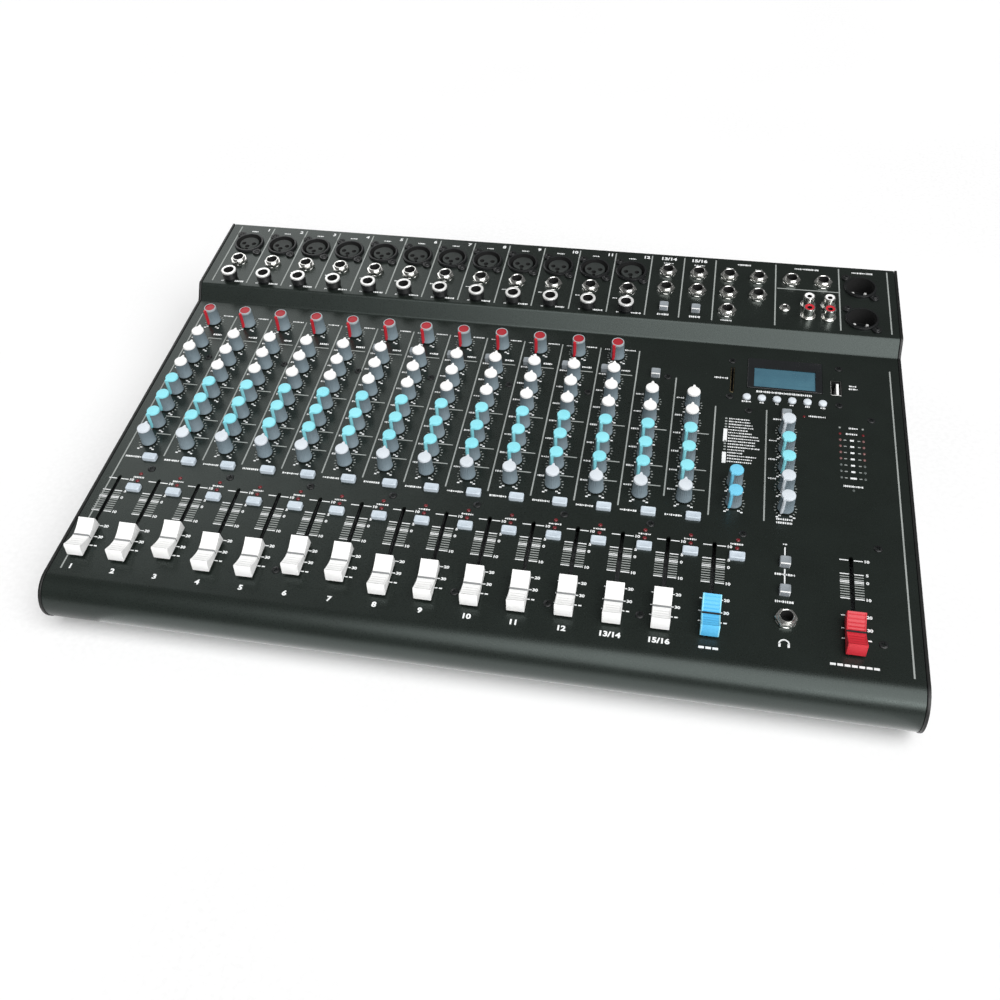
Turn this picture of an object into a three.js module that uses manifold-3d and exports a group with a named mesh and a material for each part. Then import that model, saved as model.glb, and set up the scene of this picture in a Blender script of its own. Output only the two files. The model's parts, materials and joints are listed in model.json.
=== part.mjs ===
// A sixteen-input mixing console, in millimetres: +X to the operator's right, +Y to the rear, +Z up,
// with the origin on the table under the middle of the console.
//
// The control surface is one plane that tilts towards the operator. Everything on it is placed in deck
// coordinates: x across, y up the slope from the foot of the channel strips, z out of the panel.
// Columns and rows on the deck are given in channel pitches, the width of one channel strip.

import * as THREE from 'three';
import { mergeVertices } from 'three/addons/utils/BufferGeometryUtils.js';
import Module from 'manifold-3d';

const wasm = await Module();
wasm.setup();

// ---------------------------------------------------------------- driving dimensions

const PITCH = 28.5;
const BODY_WIDTH = 536.6;
const TILT = THREE.MathUtils.degToRad(6);
const SHEET = 1.5;
const GAP = 0.3;
const FOOT_HEIGHT = 6;

// deck profile: a half-round nose, the control surface, a riser and the raised connector deck
const NOSE_RADIUS = 17.5;
const NOSE_REACH = 105.5;
const NOSE_STEPS = 12;
const RISER_FOOT = 164.7;
const RISER_HEAD = 173.9;
const RISE = 10.4;
const REAR_EDGE = 252.8;
const LIP_LENGTH = 14;
const REAR_FLANGE = 10;
const END_PLATE = 2;
const END_PLATE_PROUD = 0.5;

// columns
const FIRST_LINE = 9.4 - BODY_WIDTH / 2;
const MONO_STRIPS = 12;
const STEREO_STRIPS = ['13_14', '15_16'];
const KNOB_COLUMN = 0.45;
const FADER_COLUMN = 0.203;
const BUTTON_COLUMN = 0.69;
const LOW_CUT_COLUMN = 0.19;
const EFFECTS_KNOB_COLUMN = 14.555;
const MASTER_COLUMN = 15.7;
const MAIN_FADER_COLUMN = 17.08;
const PLAYER_BUTTON_COLUMNS = Array.from({ length: 6 }, (_, i) => 14.748 + 0.3632 * i);

// rows
const PAN_ROW = 0.418;
const KNOB_STEP = 0.602;
const GAIN_ROW = 4.96;
const LOW_CUT_ROW = 4.42;
const LISTEN_ROW = -0.103;
const MUTE_ROW = -1.088;
const PHANTOM_ROW = 3.38;
const ROUTING_ROWS = [-1.11, -1.86];
const PLAYER_BUTTON_ROW = 3.91;
const SLOT_TOP = -0.735;
const SLOT_BOTTOM = -2.96;

// where each fader's cap stands, the strips in order, then the effects return and the main fader
const FADER_RESTS = [
  -2.75, -2.76, -2.55, -2.75, -2.76, -2.555, -2.585, -2.79,
  -2.775, -2.775, -2.775, -2.745, -2.78, -2.77, -2.79, -2.81,
];

// connector deck
const MIC_COLUMN = 0.49;
const MIC_ROW = 7.994;
const LINE_COLUMN = 0.47;
const LINE_ROW = 7.184;
const INSERT_COLUMN = 0.495;
const INSERT_ROW = 6.41;
const STEREO_COLUMNS = [12.475, 13.302];
const AUX_COLUMNS = [14.115, 14.885];
const CONTROL_ROOM_COLUMNS = [15.745, 16.566];
const OUTPUT_ROWS = [8.1, 7.364, 6.634];
const STEREO_SWITCH_ROW = 6.614;
const MINI_JACK_PLACE = [15.58, 6.954];
const PHONO_COLUMNS = [16.165, 16.68];
const PHONO_ROWS = [7.179, 6.724];
const MAIN_OUT_COLUMN = 17.515;
const MAIN_OUT_ROWS = [8.014, 6.734];
const HEADPHONE_PLACE = [15.73, -2.57];

// boards: [left, right, foot, head] in pitches, and the height of each upper face in deck coordinates
const BOARD = 1.6;
const CONTROL_BOARD_Z = -12;
const FADER_BOARD_Z = -17;
const JACK_BOARD_Z = RISE - 16;
const XLR_BOARD_Z = RISE - 24;
const CHANNEL_AREA = [0.03, 13.95, -0.4, 5.25];
const MASTER_AREA = [13.9, 17.75, -0.4, 3.4];
const FADER_AREA = [0, 17.6, -3.3, -0.47];
const PLAYER_AREA = [14.2, 17.2, 3.75, 5.32];
const MIC_AREA = [0.05, 11.95, 7.574, 8.414];
const LINE_AREA = [0.1, 11.9, 6.9, 7.46];
const INSERT_AREA = [0.1, 11.9, 6.15, 6.67];
const OUTPUT_AREAS = [[12.15, 15.25, 6.35, 8.38], [15.2, 16.9, 7.8, 8.38], [15.2, 15.85, 6.7, 7.85]];
const PHONO_AREA = [15.93, 16.93, 6.48, 7.42];
const MAIN_OUT_AREA = [17.12, 17.92, 6.3, 8.44];

// fader cap, stem and track, heights from the panel
const FADER_CAP = { width: 11.1, base: 13, ridge: 11.4, foot: 1.8, shoulder: 9.2, top: 10.4, waist: 6.2 };
const SLOT_WIDTH = 2.4;
const STEM = { thickness: 1.2, depth: 4, foot: -13.5 };
const TRACK = { width: 8, overrun: 8, wall: 1.2, mouth: 3, top: -4 };

// rotary knobs; a knob left at its minimum points to the operator's lower left
const KNOB = { foot: 0.9, top: 14.2, skirt: 5.3, waist: 4.75, crown: 4.4, skirtTop: 2.4, sides: 10 };
const POINTER = { width: 1.2, depth: 1.4 };
const SHAFT_RADIUS = 3;
const SHAFT_FOOT = -5;
const POT = { size: 11, top: -5.4 };
const MINIMUM = THREE.MathUtils.degToRad(150);
const CENTRE = 0;

// push buttons
const WIDE_BUTTON = { width: 9.7, depth: 5.6, top: 2.6 };
const SQUARE_BUTTON = { width: 6.6, depth: 6.6, top: 3.6 };
const SMALL_BUTTON = { width: 5.4, depth: 5.4, top: 3.6 };
const BUTTON_SKIRT = -4;
const BUTTON_STEM = { size: 3.4, foot: -9 };
const PLAYER_BUTTON = { radius: 3.1, top: 1.4 };

// connectors
const JACK = { corners: 6.9, nut: 2.4, collarRadius: 4.9, collar: 4.6, bore: 3.6, barrel: 4.6, depth: 13 };
const INSERT_JACK = { radius: 5.6, height: 8.5 };
const MINI_JACK = { radius: 3, height: 2.4, bore: 1.8, depth: 10 };
const XLR = { radius: 12, flange: 1.8, cavity: 9.5, core: 7.2, depth: 13, barrel: 10.4 };
const XLR_EAR = { x: 10, y: 10.8, radius: 3.4 };
const XLR_PIN = { radius: 1.25, circle: 4.6, length: 10, degrees: [210, 270, 330] };
const PHONO = { radius: 4.1, height: 8.6, bore: 1.7 };
const HEADPHONE_CASE = 15;

// display window, memory card slot and memory stick socket: [left, right, foot, head] in pitches
const DISPLAY = [14.745, 16.56, 4.235, 5.315];
const DISPLAY_DEPTH = 6;
const DISPLAY_PROUD = 0.6;
const CARD_SLOT = [14.333, 14.423, 4.026, 4.923];
const CARD_RIM = 2;
const STICK_SLOT = [16.763, 17.02, 4.24, 4.76];
const STICK_RIM = 0.8;
const STICK_TONGUE = { width: 1.8, depth: 11, shift: 1.7 };

// flat cable, [y, z] along its length
const CABLE = { left: -70, right: -30, thickness: 0.9, foot: 128, rise: 158, head: 180, end: 212 };

// rear panel: mains inlet with its socket and rocker switch
const INLET = { x: -196, z: 44, width: 74, height: 30, flange: 2, depth: 26, inset: 2 };
const SOCKET = { x: -14, width: 27, height: 20, depth: 15 };
const SOCKET_PIN = { thickness: 2, height: 5, tip: 3, spread: 7, offset: 2 };
const ROCKER_WELL = { x: 20, width: 14, height: 20.6, depth: 14 };
const ROCKER = { width: 13, half: 8.8, reach: 5.5, dip: 1.4, pivot: 5.5, back: 4, heel: 3, shoulder: 1 };
const ROCKER_OFF = THREE.MathUtils.degToRad(10);

const FEET = { radius: 10, taper: 1, sides: 12, x: 232, front: -96, rear: 150 };
const SUPPLY = { x: -195, width: 110, depth: 62, height: 36, behind: 8 };

// ---------------------------------------------------------------- materials

function finish(color, roughness, metalness = 0) {
  return new THREE.MeshStandardMaterial({ color, roughness, metalness });
}

const blackPaint = finish(0x2b302c, 0.5, 0.1);
const blackPlastic = finish(0x17181a, 0.45);
const rubber = finish(0x101010, 0.9);
const greenBoard = finish(0x1f5a35, 0.6);
const nickel = finish(0xc9c6bd, 0.2, 1);
const slatePlastic = finish(0x6d7f8a, 0.55);
const redPlastic = finish(0xd9303c, 0.45);
const whitePlastic = finish(0xf4f4f2, 0.45);
const cyanPlastic = finish(0x7fdcea, 0.45);
const bluePlastic = finish(0x4fb6f2, 0.45);
const greyPlastic = finish(0x8d9296, 0.5);
const paleBlue = finish(0xc9d8e6, 0.45);
const displayGlass = finish(0x4f7f92, 0.15);
const supplySteel = finish(0x9a9c9e, 0.4, 0.8);
const cableGrey = finish(0x8c8f93, 0.7);

// ---------------------------------------------------------------- building blocks

/** A closed three.js geometry as a solid. */
function solidOf(geometry) {
  const bare = geometry.clone();
  bare.deleteAttribute('normal');
  bare.deleteAttribute('uv');
  const merged = mergeVertices(bare, 1e-4);
  const index = merged.index.array;
  const corners = [];
  for (let i = 0; i < index.length; i += 3) {
    const [a, b, c] = [index[i], index[i + 1], index[i + 2]];
    if (a !== b && b !== c && c !== a) corners.push(a, b, c);
  }
  const vertProperties = Float32Array.from(merged.attributes.position.array);
  return new wasm.Manifold(new wasm.Mesh({ numProp: 3, vertProperties, triVerts: Uint32Array.from(corners) }));
}

/** A solid as a three.js geometry. */
function geometryOf(solid) {
  const mesh = solid.getMesh();
  const geometry = new THREE.BufferGeometry();
  geometry.setAttribute('position', new THREE.BufferAttribute(mesh.vertProperties, 3));
  geometry.setIndex(new THREE.BufferAttribute(mesh.triVerts, 1));
  geometry.computeVertexNormals();
  return geometry;
}

const joined = (solids) => solids.reduce((whole, part) => whole.add(part));

/** A box between two corners. */
function box(x0, x1, y0, y1, z0, z1) {
  const geometry = new THREE.BoxGeometry(x1 - x0, y1 - y0, z1 - z0);
  geometry.translate((x0 + x1) / 2, (y0 + y1) / 2, (z0 + z1) / 2);
  return solidOf(geometry);
}

/** A box centred on x and y, between two heights. */
function pad(x, y, width, depth, z0, z1) {
  return box(x - width / 2, x + width / 2, y - depth / 2, y + depth / 2, z0, z1);
}

/** An upright prism with a regular outline, between two heights. */
function prism(x, y, radius, sides, z0, z1) {
  const geometry = new THREE.CylinderGeometry(radius, radius, z1 - z0, sides);
  geometry.rotateX(Math.PI / 2);
  geometry.rotateZ(Math.PI / sides);
  geometry.translate(x, y, (z0 + z1) / 2);
  return solidOf(geometry);
}

/** A solid of revolution about an upright axis, from [radius, height] pairs that start and end on it. */
function turned(x, y, profile, sides) {
  const geometry = new THREE.LatheGeometry(profile.map(([r, z]) => new THREE.Vector2(r, z)), sides);
  geometry.rotateX(Math.PI / 2);
  geometry.translate(x, y, 0);
  return solidOf(geometry);
}

/** An outline of [y, z] points carried across from x0 to x1. */
function carried(outline, x0, x1) {
  const shape = new THREE.Shape(outline.map(([y, z]) => new THREE.Vector2(y, z)));
  const geometry = new THREE.ExtrudeGeometry(shape, { depth: x1 - x0, bevelEnabled: false });
  geometry.applyMatrix4(new THREE.Matrix4().set(0, 0, 1, x0, 1, 0, 0, 0, 0, 1, 0, 0, 0, 0, 0, 1));
  return solidOf(geometry);
}

/** A path moved sideways to its right by a distance, keeping its corners mitred. */
function beside(path, distance) {
  const headings = path.slice(1).map(([y, z], i) => {
    const along = new THREE.Vector2(y - path[i][0], z - path[i][1]).normalize();
    return new THREE.Vector2(along.y, -along.x);
  });
  return path.map(([y, z], i) => {
    const before = headings[Math.max(i - 1, 0)];
    const after = headings[Math.min(i, headings.length - 1)];
    const reach = distance / (1 + before.dot(after));
    return [y + (before.x + after.x) * reach, z + (before.y + after.y) * reach];
  });
}

/** The outline of a bent sheet between a path and the same path moved to its right. */
const bentSheet = (path, thickness) => [...path, ...beside(path, thickness).reverse()];

const across = (column) => FIRST_LINE + column * PITCH;
const up = (row) => row * PITCH;

/** A box on the deck over an area given in pitches, grown by a margin all round. */
function plate([left, right, foot, head], z0, z1, margin = 0) {
  return box(across(left) - margin, across(right) + margin, up(foot) - margin, up(head) + margin, z0, z1);
}

// ---------------------------------------------------------------- where the deck stands

const cosTilt = Math.cos(TILT);
const sinTilt = Math.sin(TILT);
const BASE_Z = FOOT_HEIGHT + GAP;
const DECK_Z = BASE_Z + NOSE_RADIUS + NOSE_REACH * sinTilt + NOSE_RADIUS * cosTilt;
const FLANGE_ROOM = SHEET + GAP;
const rockerProud = ROCKER.reach * Math.cos(ROCKER_OFF) + ROCKER.half * Math.sin(ROCKER_OFF) - ROCKER.pivot;
const frontOfDeck = -NOSE_REACH * cosTilt + NOSE_RADIUS * sinTilt - NOSE_RADIUS - END_PLATE_PROUD;
const rearOfDeck = REAR_EDGE * cosTilt - RISE * sinTilt;
const DECK_Y = -(frontOfDeck + rearOfDeck - FLANGE_ROOM + INLET.flange + rockerProud) / 2;
const REAR_WALL_Y = DECK_Y + rearOfDeck - FLANGE_ROOM;

/** A deck point as a console point, both [y, z]. */
const toConsole = ([y, z]) => [DECK_Y + y * cosTilt - z * sinTilt, DECK_Z + y * sinTilt + z * cosTilt];

/** The outer face of the deck from the underside of the nose to the rear edge. */
function deckPath() {
  const path = [];
  for (let step = 0; step <= NOSE_STEPS; step += 1) {
    const turn = -(Math.PI / 2 + TILT) - ((Math.PI - TILT) * step) / NOSE_STEPS;
    path.push([-NOSE_REACH + NOSE_RADIUS * Math.cos(turn), -NOSE_RADIUS + NOSE_RADIUS * Math.sin(turn)]);
  }
  path.push([RISER_FOOT, 0], [RISER_HEAD, RISE], [REAR_EDGE, RISE]);
  return path;
}

// ---------------------------------------------------------------- layout of the controls

const strips = Array.from({ length: MONO_STRIPS }, (_, strip) => `${strip + 1}`).concat(STEREO_STRIPS);
const EFFECTS_STRIP = strips.length;
const knobRow = (step) => PAN_ROW + step * KNOB_STEP;

/** The knobs of one input strip, from the top. */
function stripKnobs(strip) {
  const mono = strip < MONO_STRIPS;
  const tone = mono ? ['high', 'middle', 'low'] : ['high', 'low'];
  const sends = ['aux_1', 'aux_2', 'effects_send'];
  const knobs = [
    ...(mono ? [{ name: 'gain', row: GAIN_ROW, cap: redPlastic, rest: MINIMUM }] : []),
    ...tone.map((name, i) => (
      { name, row: knobRow(sends.length + tone.length - i), cap: whitePlastic, rest: CENTRE })),
    ...sends.map((name, i) => ({ name, row: knobRow(sends.length - i), cap: cyanPlastic, rest: MINIMUM })),
    { name: 'pan', row: PAN_ROW, cap: slatePlastic, rest: CENTRE },
  ];
  return knobs.map((each) => ({ ...each, name: `${strips[strip]}_${each.name}`, column: strip + KNOB_COLUMN }));
}

/** A column of knobs with one step between them, from names and cap colours in order from the top. */
function knobColumn(caps, column) {
  const names = Object.keys(caps);
  return names.map((name, i) => (
    { name, column, row: knobRow(names.length - 1 - i), cap: caps[name], rest: MINIMUM }));
}

const effectsKnobs = knobColumn({
  effects_program: bluePlastic,
  effects_parameter: bluePlastic,
}, EFFECTS_KNOB_COLUMN);
const masterKnobs = knobColumn({
  playback_level: slatePlastic,
  aux_1_master: cyanPlastic,
  aux_2_master: cyanPlastic,
  effects_master: slatePlastic,
  control_room_level: slatePlastic,
}, MASTER_COLUMN);
const movingKnobs = [...stripKnobs(0), ...effectsKnobs, ...masterKnobs];
const fixedKnobs = strips.slice(1).flatMap((_, i) => stripKnobs(i + 1));

const specialCaps = { effects: bluePlastic, main: redPlastic };
const faders = [...strips, 'effects', 'main'].map((name, i) => ({
  name,
  column: name === 'main' ? MAIN_FADER_COLUMN : i + FADER_COLUMN,
  rest: FADER_RESTS[i],
  cap: specialCaps[name] ?? whitePlastic,
}));

const lowCutPlace = (strip) => [strip + LOW_CUT_COLUMN, LOW_CUT_ROW];
const listenPlace = (strip) => [strip + BUTTON_COLUMN, LISTEN_ROW];
const mutePlace = (strip) => [strip + BUTTON_COLUMN, MUTE_ROW];

const movingButtons = [
  { name: '1_low_cut', at: lowCutPlace(0), shape: SMALL_BUTTON, color: greyPlastic },
  { name: '1_listen', at: listenPlace(0), shape: WIDE_BUTTON, color: paleBlue },
  { name: '1_mute', at: mutePlace(0), shape: WIDE_BUTTON, color: paleBlue },
  { name: 'phantom_power', at: [MASTER_COLUMN, PHANTOM_ROW], shape: SQUARE_BUTTON, color: greyPlastic },
  { name: 'playback_routing', at: [MASTER_COLUMN, ROUTING_ROWS[0]], shape: SQUARE_BUTTON, color: greyPlastic },
  { name: 'main_routing', at: [MASTER_COLUMN, ROUTING_ROWS[1]], shape: SQUARE_BUTTON, color: greyPlastic },
];

const fixedControlButtons = [
  ...strips.slice(1, MONO_STRIPS).map((_, i) => ({ at: lowCutPlace(i + 1), shape: SMALL_BUTTON })),
  { at: [STEREO_COLUMNS[0], LOW_CUT_ROW], shape: SQUARE_BUTTON },
  ...strips.slice(1).map((_, i) => ({ at: listenPlace(i + 1), shape: WIDE_BUTTON })),
];
const fixedMuteButtons = Array.from({ length: EFFECTS_STRIP }, (_, i) => (
  { at: mutePlace(i + 1), shape: WIDE_BUTTON }));

const monoPlaces = (column, row) => Array.from({ length: MONO_STRIPS }, (_, strip) => [strip + column, row]);
const outputJackPlaces = [
  ...STEREO_COLUMNS.flatMap((column) => OUTPUT_ROWS.slice(0, 2).map((row) => [column, row])),
  ...OUTPUT_ROWS.map((row) => [AUX_COLUMNS[0], row]),
  ...OUTPUT_ROWS.slice(0, 2).map((row) => [AUX_COLUMNS[1], row]),
  ...CONTROL_ROOM_COLUMNS.map((column) => [column, OUTPUT_ROWS[0]]),
];
const phonoPlaces = PHONO_COLUMNS.flatMap((column) => PHONO_ROWS.map((row) => [column, row]));
const mainOutPlaces = MAIN_OUT_ROWS.map((row) => [MAIN_OUT_COLUMN, row]);
const stereoSwitchPlaces = STEREO_COLUMNS.map((column) => [column, STEREO_SWITCH_ROW]);

// ---------------------------------------------------------------- casing

const CUT_BELOW = -SHEET - 1;
const CUT_ABOVE = 1;
const BUTTON_CLEARANCE = 0.8;

function roundHole([column, row], radius, sides, level = 0) {
  return prism(across(column), up(row), radius, sides, level + CUT_BELOW, level + CUT_ABOVE);
}

function boxHole([column, row], width, depth, level = 0) {
  return pad(across(column), up(row), width, depth, level + CUT_BELOW, level + CUT_ABOVE);
}

function buttonHole({ at, shape }, level = 0) {
  return boxHole(at, shape.width + BUTTON_CLEARANCE, shape.depth + BUTTON_CLEARANCE, level);
}

function faderSlot({ column }) {
  return boxHole([column, (SLOT_TOP + SLOT_BOTTOM) / 2], SLOT_WIDTH, up(SLOT_TOP - SLOT_BOTTOM));
}

/** Every cut in the control surface. */
function controlHoles() {
  const shaftHole = 2 * SHAFT_RADIUS + 1.2;
  return [
    ...fixedKnobs.map(({ column, row }) => boxHole([column, row], shaftHole, shaftHole)),
    ...movingKnobs.map(({ column, row }) => roundHole([column, row], SHAFT_RADIUS + 1.2, 6)),
    ...faders.map(faderSlot),
    ...[...movingButtons, ...fixedControlButtons, ...fixedMuteButtons].map((each) => buttonHole(each)),
    ...PLAYER_BUTTON_COLUMNS.map((column) => (
      roundHole([column, PLAYER_BUTTON_ROW], PLAYER_BUTTON.radius + 0.6, 6))),
    roundHole(HEADPHONE_PLACE, JACK.barrel + 0.8, 6),
    ...[DISPLAY, CARD_SLOT, STICK_SLOT].map((area) => plate(area, CUT_BELOW, CUT_ABOVE, GAP)),
  ];
}

/** Every cut in the raised connector deck. */
function connectorHoles() {
  const threePole = [...monoPlaces(MIC_COLUMN, MIC_ROW), ...mainOutPlaces];
  const jacks = [
    ...monoPlaces(LINE_COLUMN, LINE_ROW),
    ...monoPlaces(INSERT_COLUMN, INSERT_ROW),
    ...outputJackPlaces,
  ];
  return [
    ...threePole.map((at) => roundHole(at, XLR.barrel + 0.8, 8, RISE)),
    ...jacks.map((at) => roundHole(at, JACK.barrel + 0.8, 6, RISE)),
    roundHole(MINI_JACK_PLACE, MINI_JACK.radius + 0.6, 6, RISE),
    ...phonoPlaces.map((at) => roundHole(at, PHONO.radius + 0.9, 6, RISE)),
    ...stereoSwitchPlaces.map((at) => buttonHole({ at, shape: SQUARE_BUTTON }, RISE)),
  ];
}

/** The one bent sheet that makes the nose, the control surface and the connector deck. */
function topPanel() {
  const path = deckPath();
  const [noseY, noseZ] = path[0];
  const lipEnd = [noseY + LIP_LENGTH * cosTilt, noseZ - LIP_LENGTH * sinTilt];
  const flangeEnd = [REAR_EDGE - REAR_FLANGE * sinTilt, RISE - REAR_FLANGE * cosTilt];
  const half = BODY_WIDTH / 2 - END_PLATE - GAP;
  const sheet = carried(bentSheet([lipEnd, ...path, flangeEnd], SHEET), -half, half);
  return sheet.subtract(joined([...controlHoles(), ...connectorHoles()]));
}

/** An end plate in console coordinates, standing a little proud of the deck all round. */
function endPlate(side) {
  const edge = beside(deckPath(), -END_PLATE_PROUD).map(toConsole);
  const outline = [...edge, [edge.at(-1)[0], BASE_Z]];
  const outer = (side * BODY_WIDTH) / 2;
  const inner = outer - side * END_PLATE;
  return carried(outline, Math.min(inner, outer), Math.max(inner, outer));
}

/** The base plate with the rear wall bent up from it, cut out for the mains inlet. */
function baseTray() {
  const [lipY] = toConsole([-NOSE_REACH, -NOSE_RADIUS]);
  const [, rearZ] = toConsole([REAR_EDGE, RISE]);
  const path = [
    [lipY + LIP_LENGTH + 2 * GAP, BASE_Z],
    [REAR_WALL_Y, BASE_Z],
    [REAR_WALL_Y, rearZ - SHEET - 3 * GAP],
  ];
  const half = BODY_WIDTH / 2 - END_PLATE - GAP;
  const sheet = carried(bentSheet(path.reverse(), SHEET), -half, half);
  const cutHalfWidth = INLET.width / 2 - INLET.inset + GAP;
  const cutHalfHeight = INLET.height / 2 - INLET.inset + GAP;
  return sheet.subtract(box(
    INLET.x - cutHalfWidth, INLET.x + cutHalfWidth,
    REAR_WALL_Y - 2 * SHEET, REAR_WALL_Y + SHEET,
    INLET.z - cutHalfHeight, INLET.z + cutHalfHeight,
  ));
}

function foot(x, y) {
  const { radius, taper, sides } = FEET;
  return turned(x, y, [[0, 0], [radius - taper, 0], [radius, FOOT_HEIGHT], [0, FOOT_HEIGHT]], sides);
}

// ---------------------------------------------------------------- controls

/** A knob on its shaft, with its pointer away from the operator. */
function knob() {
  const body = turned(0, 0, [
    [0, SHAFT_FOOT], [SHAFT_RADIUS, SHAFT_FOOT], [SHAFT_RADIUS, KNOB.foot], [KNOB.skirt, KNOB.foot],
    [KNOB.waist, KNOB.skirtTop], [KNOB.crown, KNOB.top], [0, KNOB.top],
  ], KNOB.sides);
  const pointer = pad(0, KNOB.crown, POINTER.width, POINTER.depth, KNOB.skirtTop, KNOB.top - GAP);
  return body.add(pointer);
}

/** A knob whose shaft stands on the control board. */
function fixedKnob({ column, row }) {
  const [x, y] = [across(column), up(row)];
  const shaft = pad(x, y, 2 * SHAFT_RADIUS, 2 * SHAFT_RADIUS, CONTROL_BOARD_Z - BOARD / 2, KNOB.foot + 1);
  return shaft.add(prism(x, y, KNOB.waist, 6, KNOB.foot, KNOB.top));
}

/** A fader's saddle-shaped cap and the flat stem that reaches through the slot. */
function fader() {
  const { base, ridge, foot: under, shoulder, top, waist, width } = FADER_CAP;
  const brow = 0.6;
  const hollow = (top + 3 * waist) / 4;
  const outline = [
    [-base, under], [base, under], [ridge + brow, shoulder], [ridge - brow, top],
    [ridge / 2, hollow], [0, waist], [-ridge / 2, hollow],
    [-ridge + brow, top], [-ridge - brow, shoulder],
  ];
  const cap = carried(outline, -width / 2, width / 2);
  return cap.add(pad(0, 0, STEM.thickness, STEM.depth, STEM.foot, under + 1));
}

/** A button cap with the stem that works the switch under it. */
function button({ width, depth, top }) {
  const stem = pad(0, 0, BUTTON_STEM.size, BUTTON_STEM.size, BUTTON_STEM.foot, BUTTON_SKIRT + 1);
  return pad(0, 0, width, depth, BUTTON_SKIRT, top).add(stem);
}

/** A button that stands on a board, at a panel level. */
function standingButton({ at: [column, row], shape }, board, level = 0) {
  return pad(across(column), up(row), shape.width, shape.depth, board - BOARD / 2, level + shape.top);
}

const boardOver = (area, top) => plate(area, top - BOARD, top);

/** The board under the channel strips and masters, with the controls that stand on it. */
function controlBoard() {
  const pots = movingKnobs.map(({ column, row }) => (
    pad(across(column), up(row), POT.size, POT.size, CONTROL_BOARD_Z - BOARD / 2, POT.top)));
  return joined([
    boardOver(CHANNEL_AREA, CONTROL_BOARD_Z),
    boardOver(MASTER_AREA, CONTROL_BOARD_Z),
    ...pots,
    ...fixedKnobs.map(fixedKnob),
    ...fixedControlButtons.map((each) => standingButton(each, CONTROL_BOARD_Z)),
  ]);
}

/** The track that one fader runs in, open along its top. */
function faderTrack({ column }) {
  const x = across(column);
  const { width, overrun, wall, mouth, top } = TRACK;
  const centre = up((SLOT_TOP + SLOT_BOTTOM) / 2);
  const length = up(SLOT_TOP - SLOT_BOTTOM) + 2 * overrun;
  const shell = pad(x, centre, width, length, FADER_BOARD_Z - BOARD / 2, top);
  const run = pad(x, centre, width - 2 * wall, length - 2 * wall, FADER_BOARD_Z, top - wall);
  const opening = pad(x, centre, mouth, length - 2 * overrun, top - 2 * wall, top + 1);
  return shell.subtract(run).subtract(opening);
}

/** The board under the faders, with their tracks and the mute buttons between them. */
function faderBoard() {
  return joined([
    boardOver(FADER_AREA, FADER_BOARD_Z),
    ...faders.map(faderTrack),
    ...fixedMuteButtons.map((each) => standingButton(each, FADER_BOARD_Z)),
  ]);
}

// ---------------------------------------------------------------- connectors

/** A quarter-inch jack: nut, collar and barrel, bored for the plug. */
function jack([column, row], level, board) {
  const [x, y] = [across(column), up(row)];
  const nut = prism(x, y, JACK.corners, 6, level + GAP, level + JACK.nut);
  const barrel = prism(x, y, JACK.barrel, 8, board - BOARD / 2, level + JACK.nut);
  const collar = prism(x, y, JACK.collarRadius, 8, level + JACK.nut - 0.5, level + JACK.collar);
  const bore = prism(x, y, JACK.bore, 8, level + JACK.collar - JACK.depth, level + JACK.collar + 1);
  return joined([nut, barrel, collar]).subtract(bore);
}

/** A plastic-bodied insert jack: a tall round barrel, bored for the plug. */
function insertJack([column, row]) {
  const [x, y] = [across(column), up(row)];
  const top = RISE + INSERT_JACK.height;
  const upper = prism(x, y, INSERT_JACK.radius, 8, RISE + GAP, top);
  const barrel = prism(x, y, JACK.barrel, 8, JACK_BOARD_Z - BOARD / 2, RISE + 1);
  const bore = prism(x, y, JACK.bore, 8, top - JACK.depth, top + 1);
  return upper.add(barrel).subtract(bore);
}

/** The round flange of a three-pole connector, its two screw ears and the barrel under them. */
function xlrBody([column, row]) {
  const [x, y] = [across(column), up(row)];
  const top = RISE + XLR.flange;
  const ears = [-1, 1].map((side) => (
    prism(x + side * XLR_EAR.x, y - side * XLR_EAR.y, XLR_EAR.radius, 6, RISE + GAP, top)));
  const flange = prism(x, y, XLR.radius, 10, RISE + GAP, top);
  const barrel = prism(x, y, XLR.barrel, 8, XLR_BOARD_Z - BOARD / 2, RISE + 1);
  const cavity = prism(x, y, XLR.cavity, 8, top - XLR.depth, top + 1);
  return joined([flange, barrel, ...ears]).subtract(cavity);
}

/** A three-pole socket, with the round core that holds its contacts. */
function micSocket([column, row]) {
  const top = RISE + XLR.flange;
  return xlrBody([column, row]).add(prism(across(column), up(row), XLR.core, 8, top - XLR.depth - 1, top - 1));
}

/** A three-pole plug, with its pins standing in the shell. */
function mainOutPlug([column, row]) {
  const floor = RISE + XLR.flange - XLR.depth;
  const pins = XLR_PIN.degrees.map((degrees) => {
    const turn = THREE.MathUtils.degToRad(degrees);
    const pinX = across(column) + XLR_PIN.circle * Math.cos(turn);
    const pinY = up(row) + XLR_PIN.circle * Math.sin(turn);
    return prism(pinX, pinY, XLR_PIN.radius, 6, floor - 1, floor + XLR_PIN.length);
  });
  return joined([xlrBody([column, row]), ...pins]);
}

function phonoSocket([column, row]) {
  const [x, y] = [across(column), up(row)];
  const shell = prism(x, y, PHONO.radius, 8, JACK_BOARD_Z - BOARD / 2, RISE + PHONO.height);
  return shell.subtract(prism(x, y, PHONO.bore, 6, RISE, RISE + PHONO.height + 1));
}

function miniJack([column, row]) {
  const [x, y] = [across(column), up(row)];
  const top = RISE + MINI_JACK.height;
  const barrel = prism(x, y, MINI_JACK.radius, 8, JACK_BOARD_Z - BOARD / 2, top);
  return barrel.subtract(prism(x, y, MINI_JACK.bore, 6, top - MINI_JACK.depth, top + 1));
}

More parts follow.
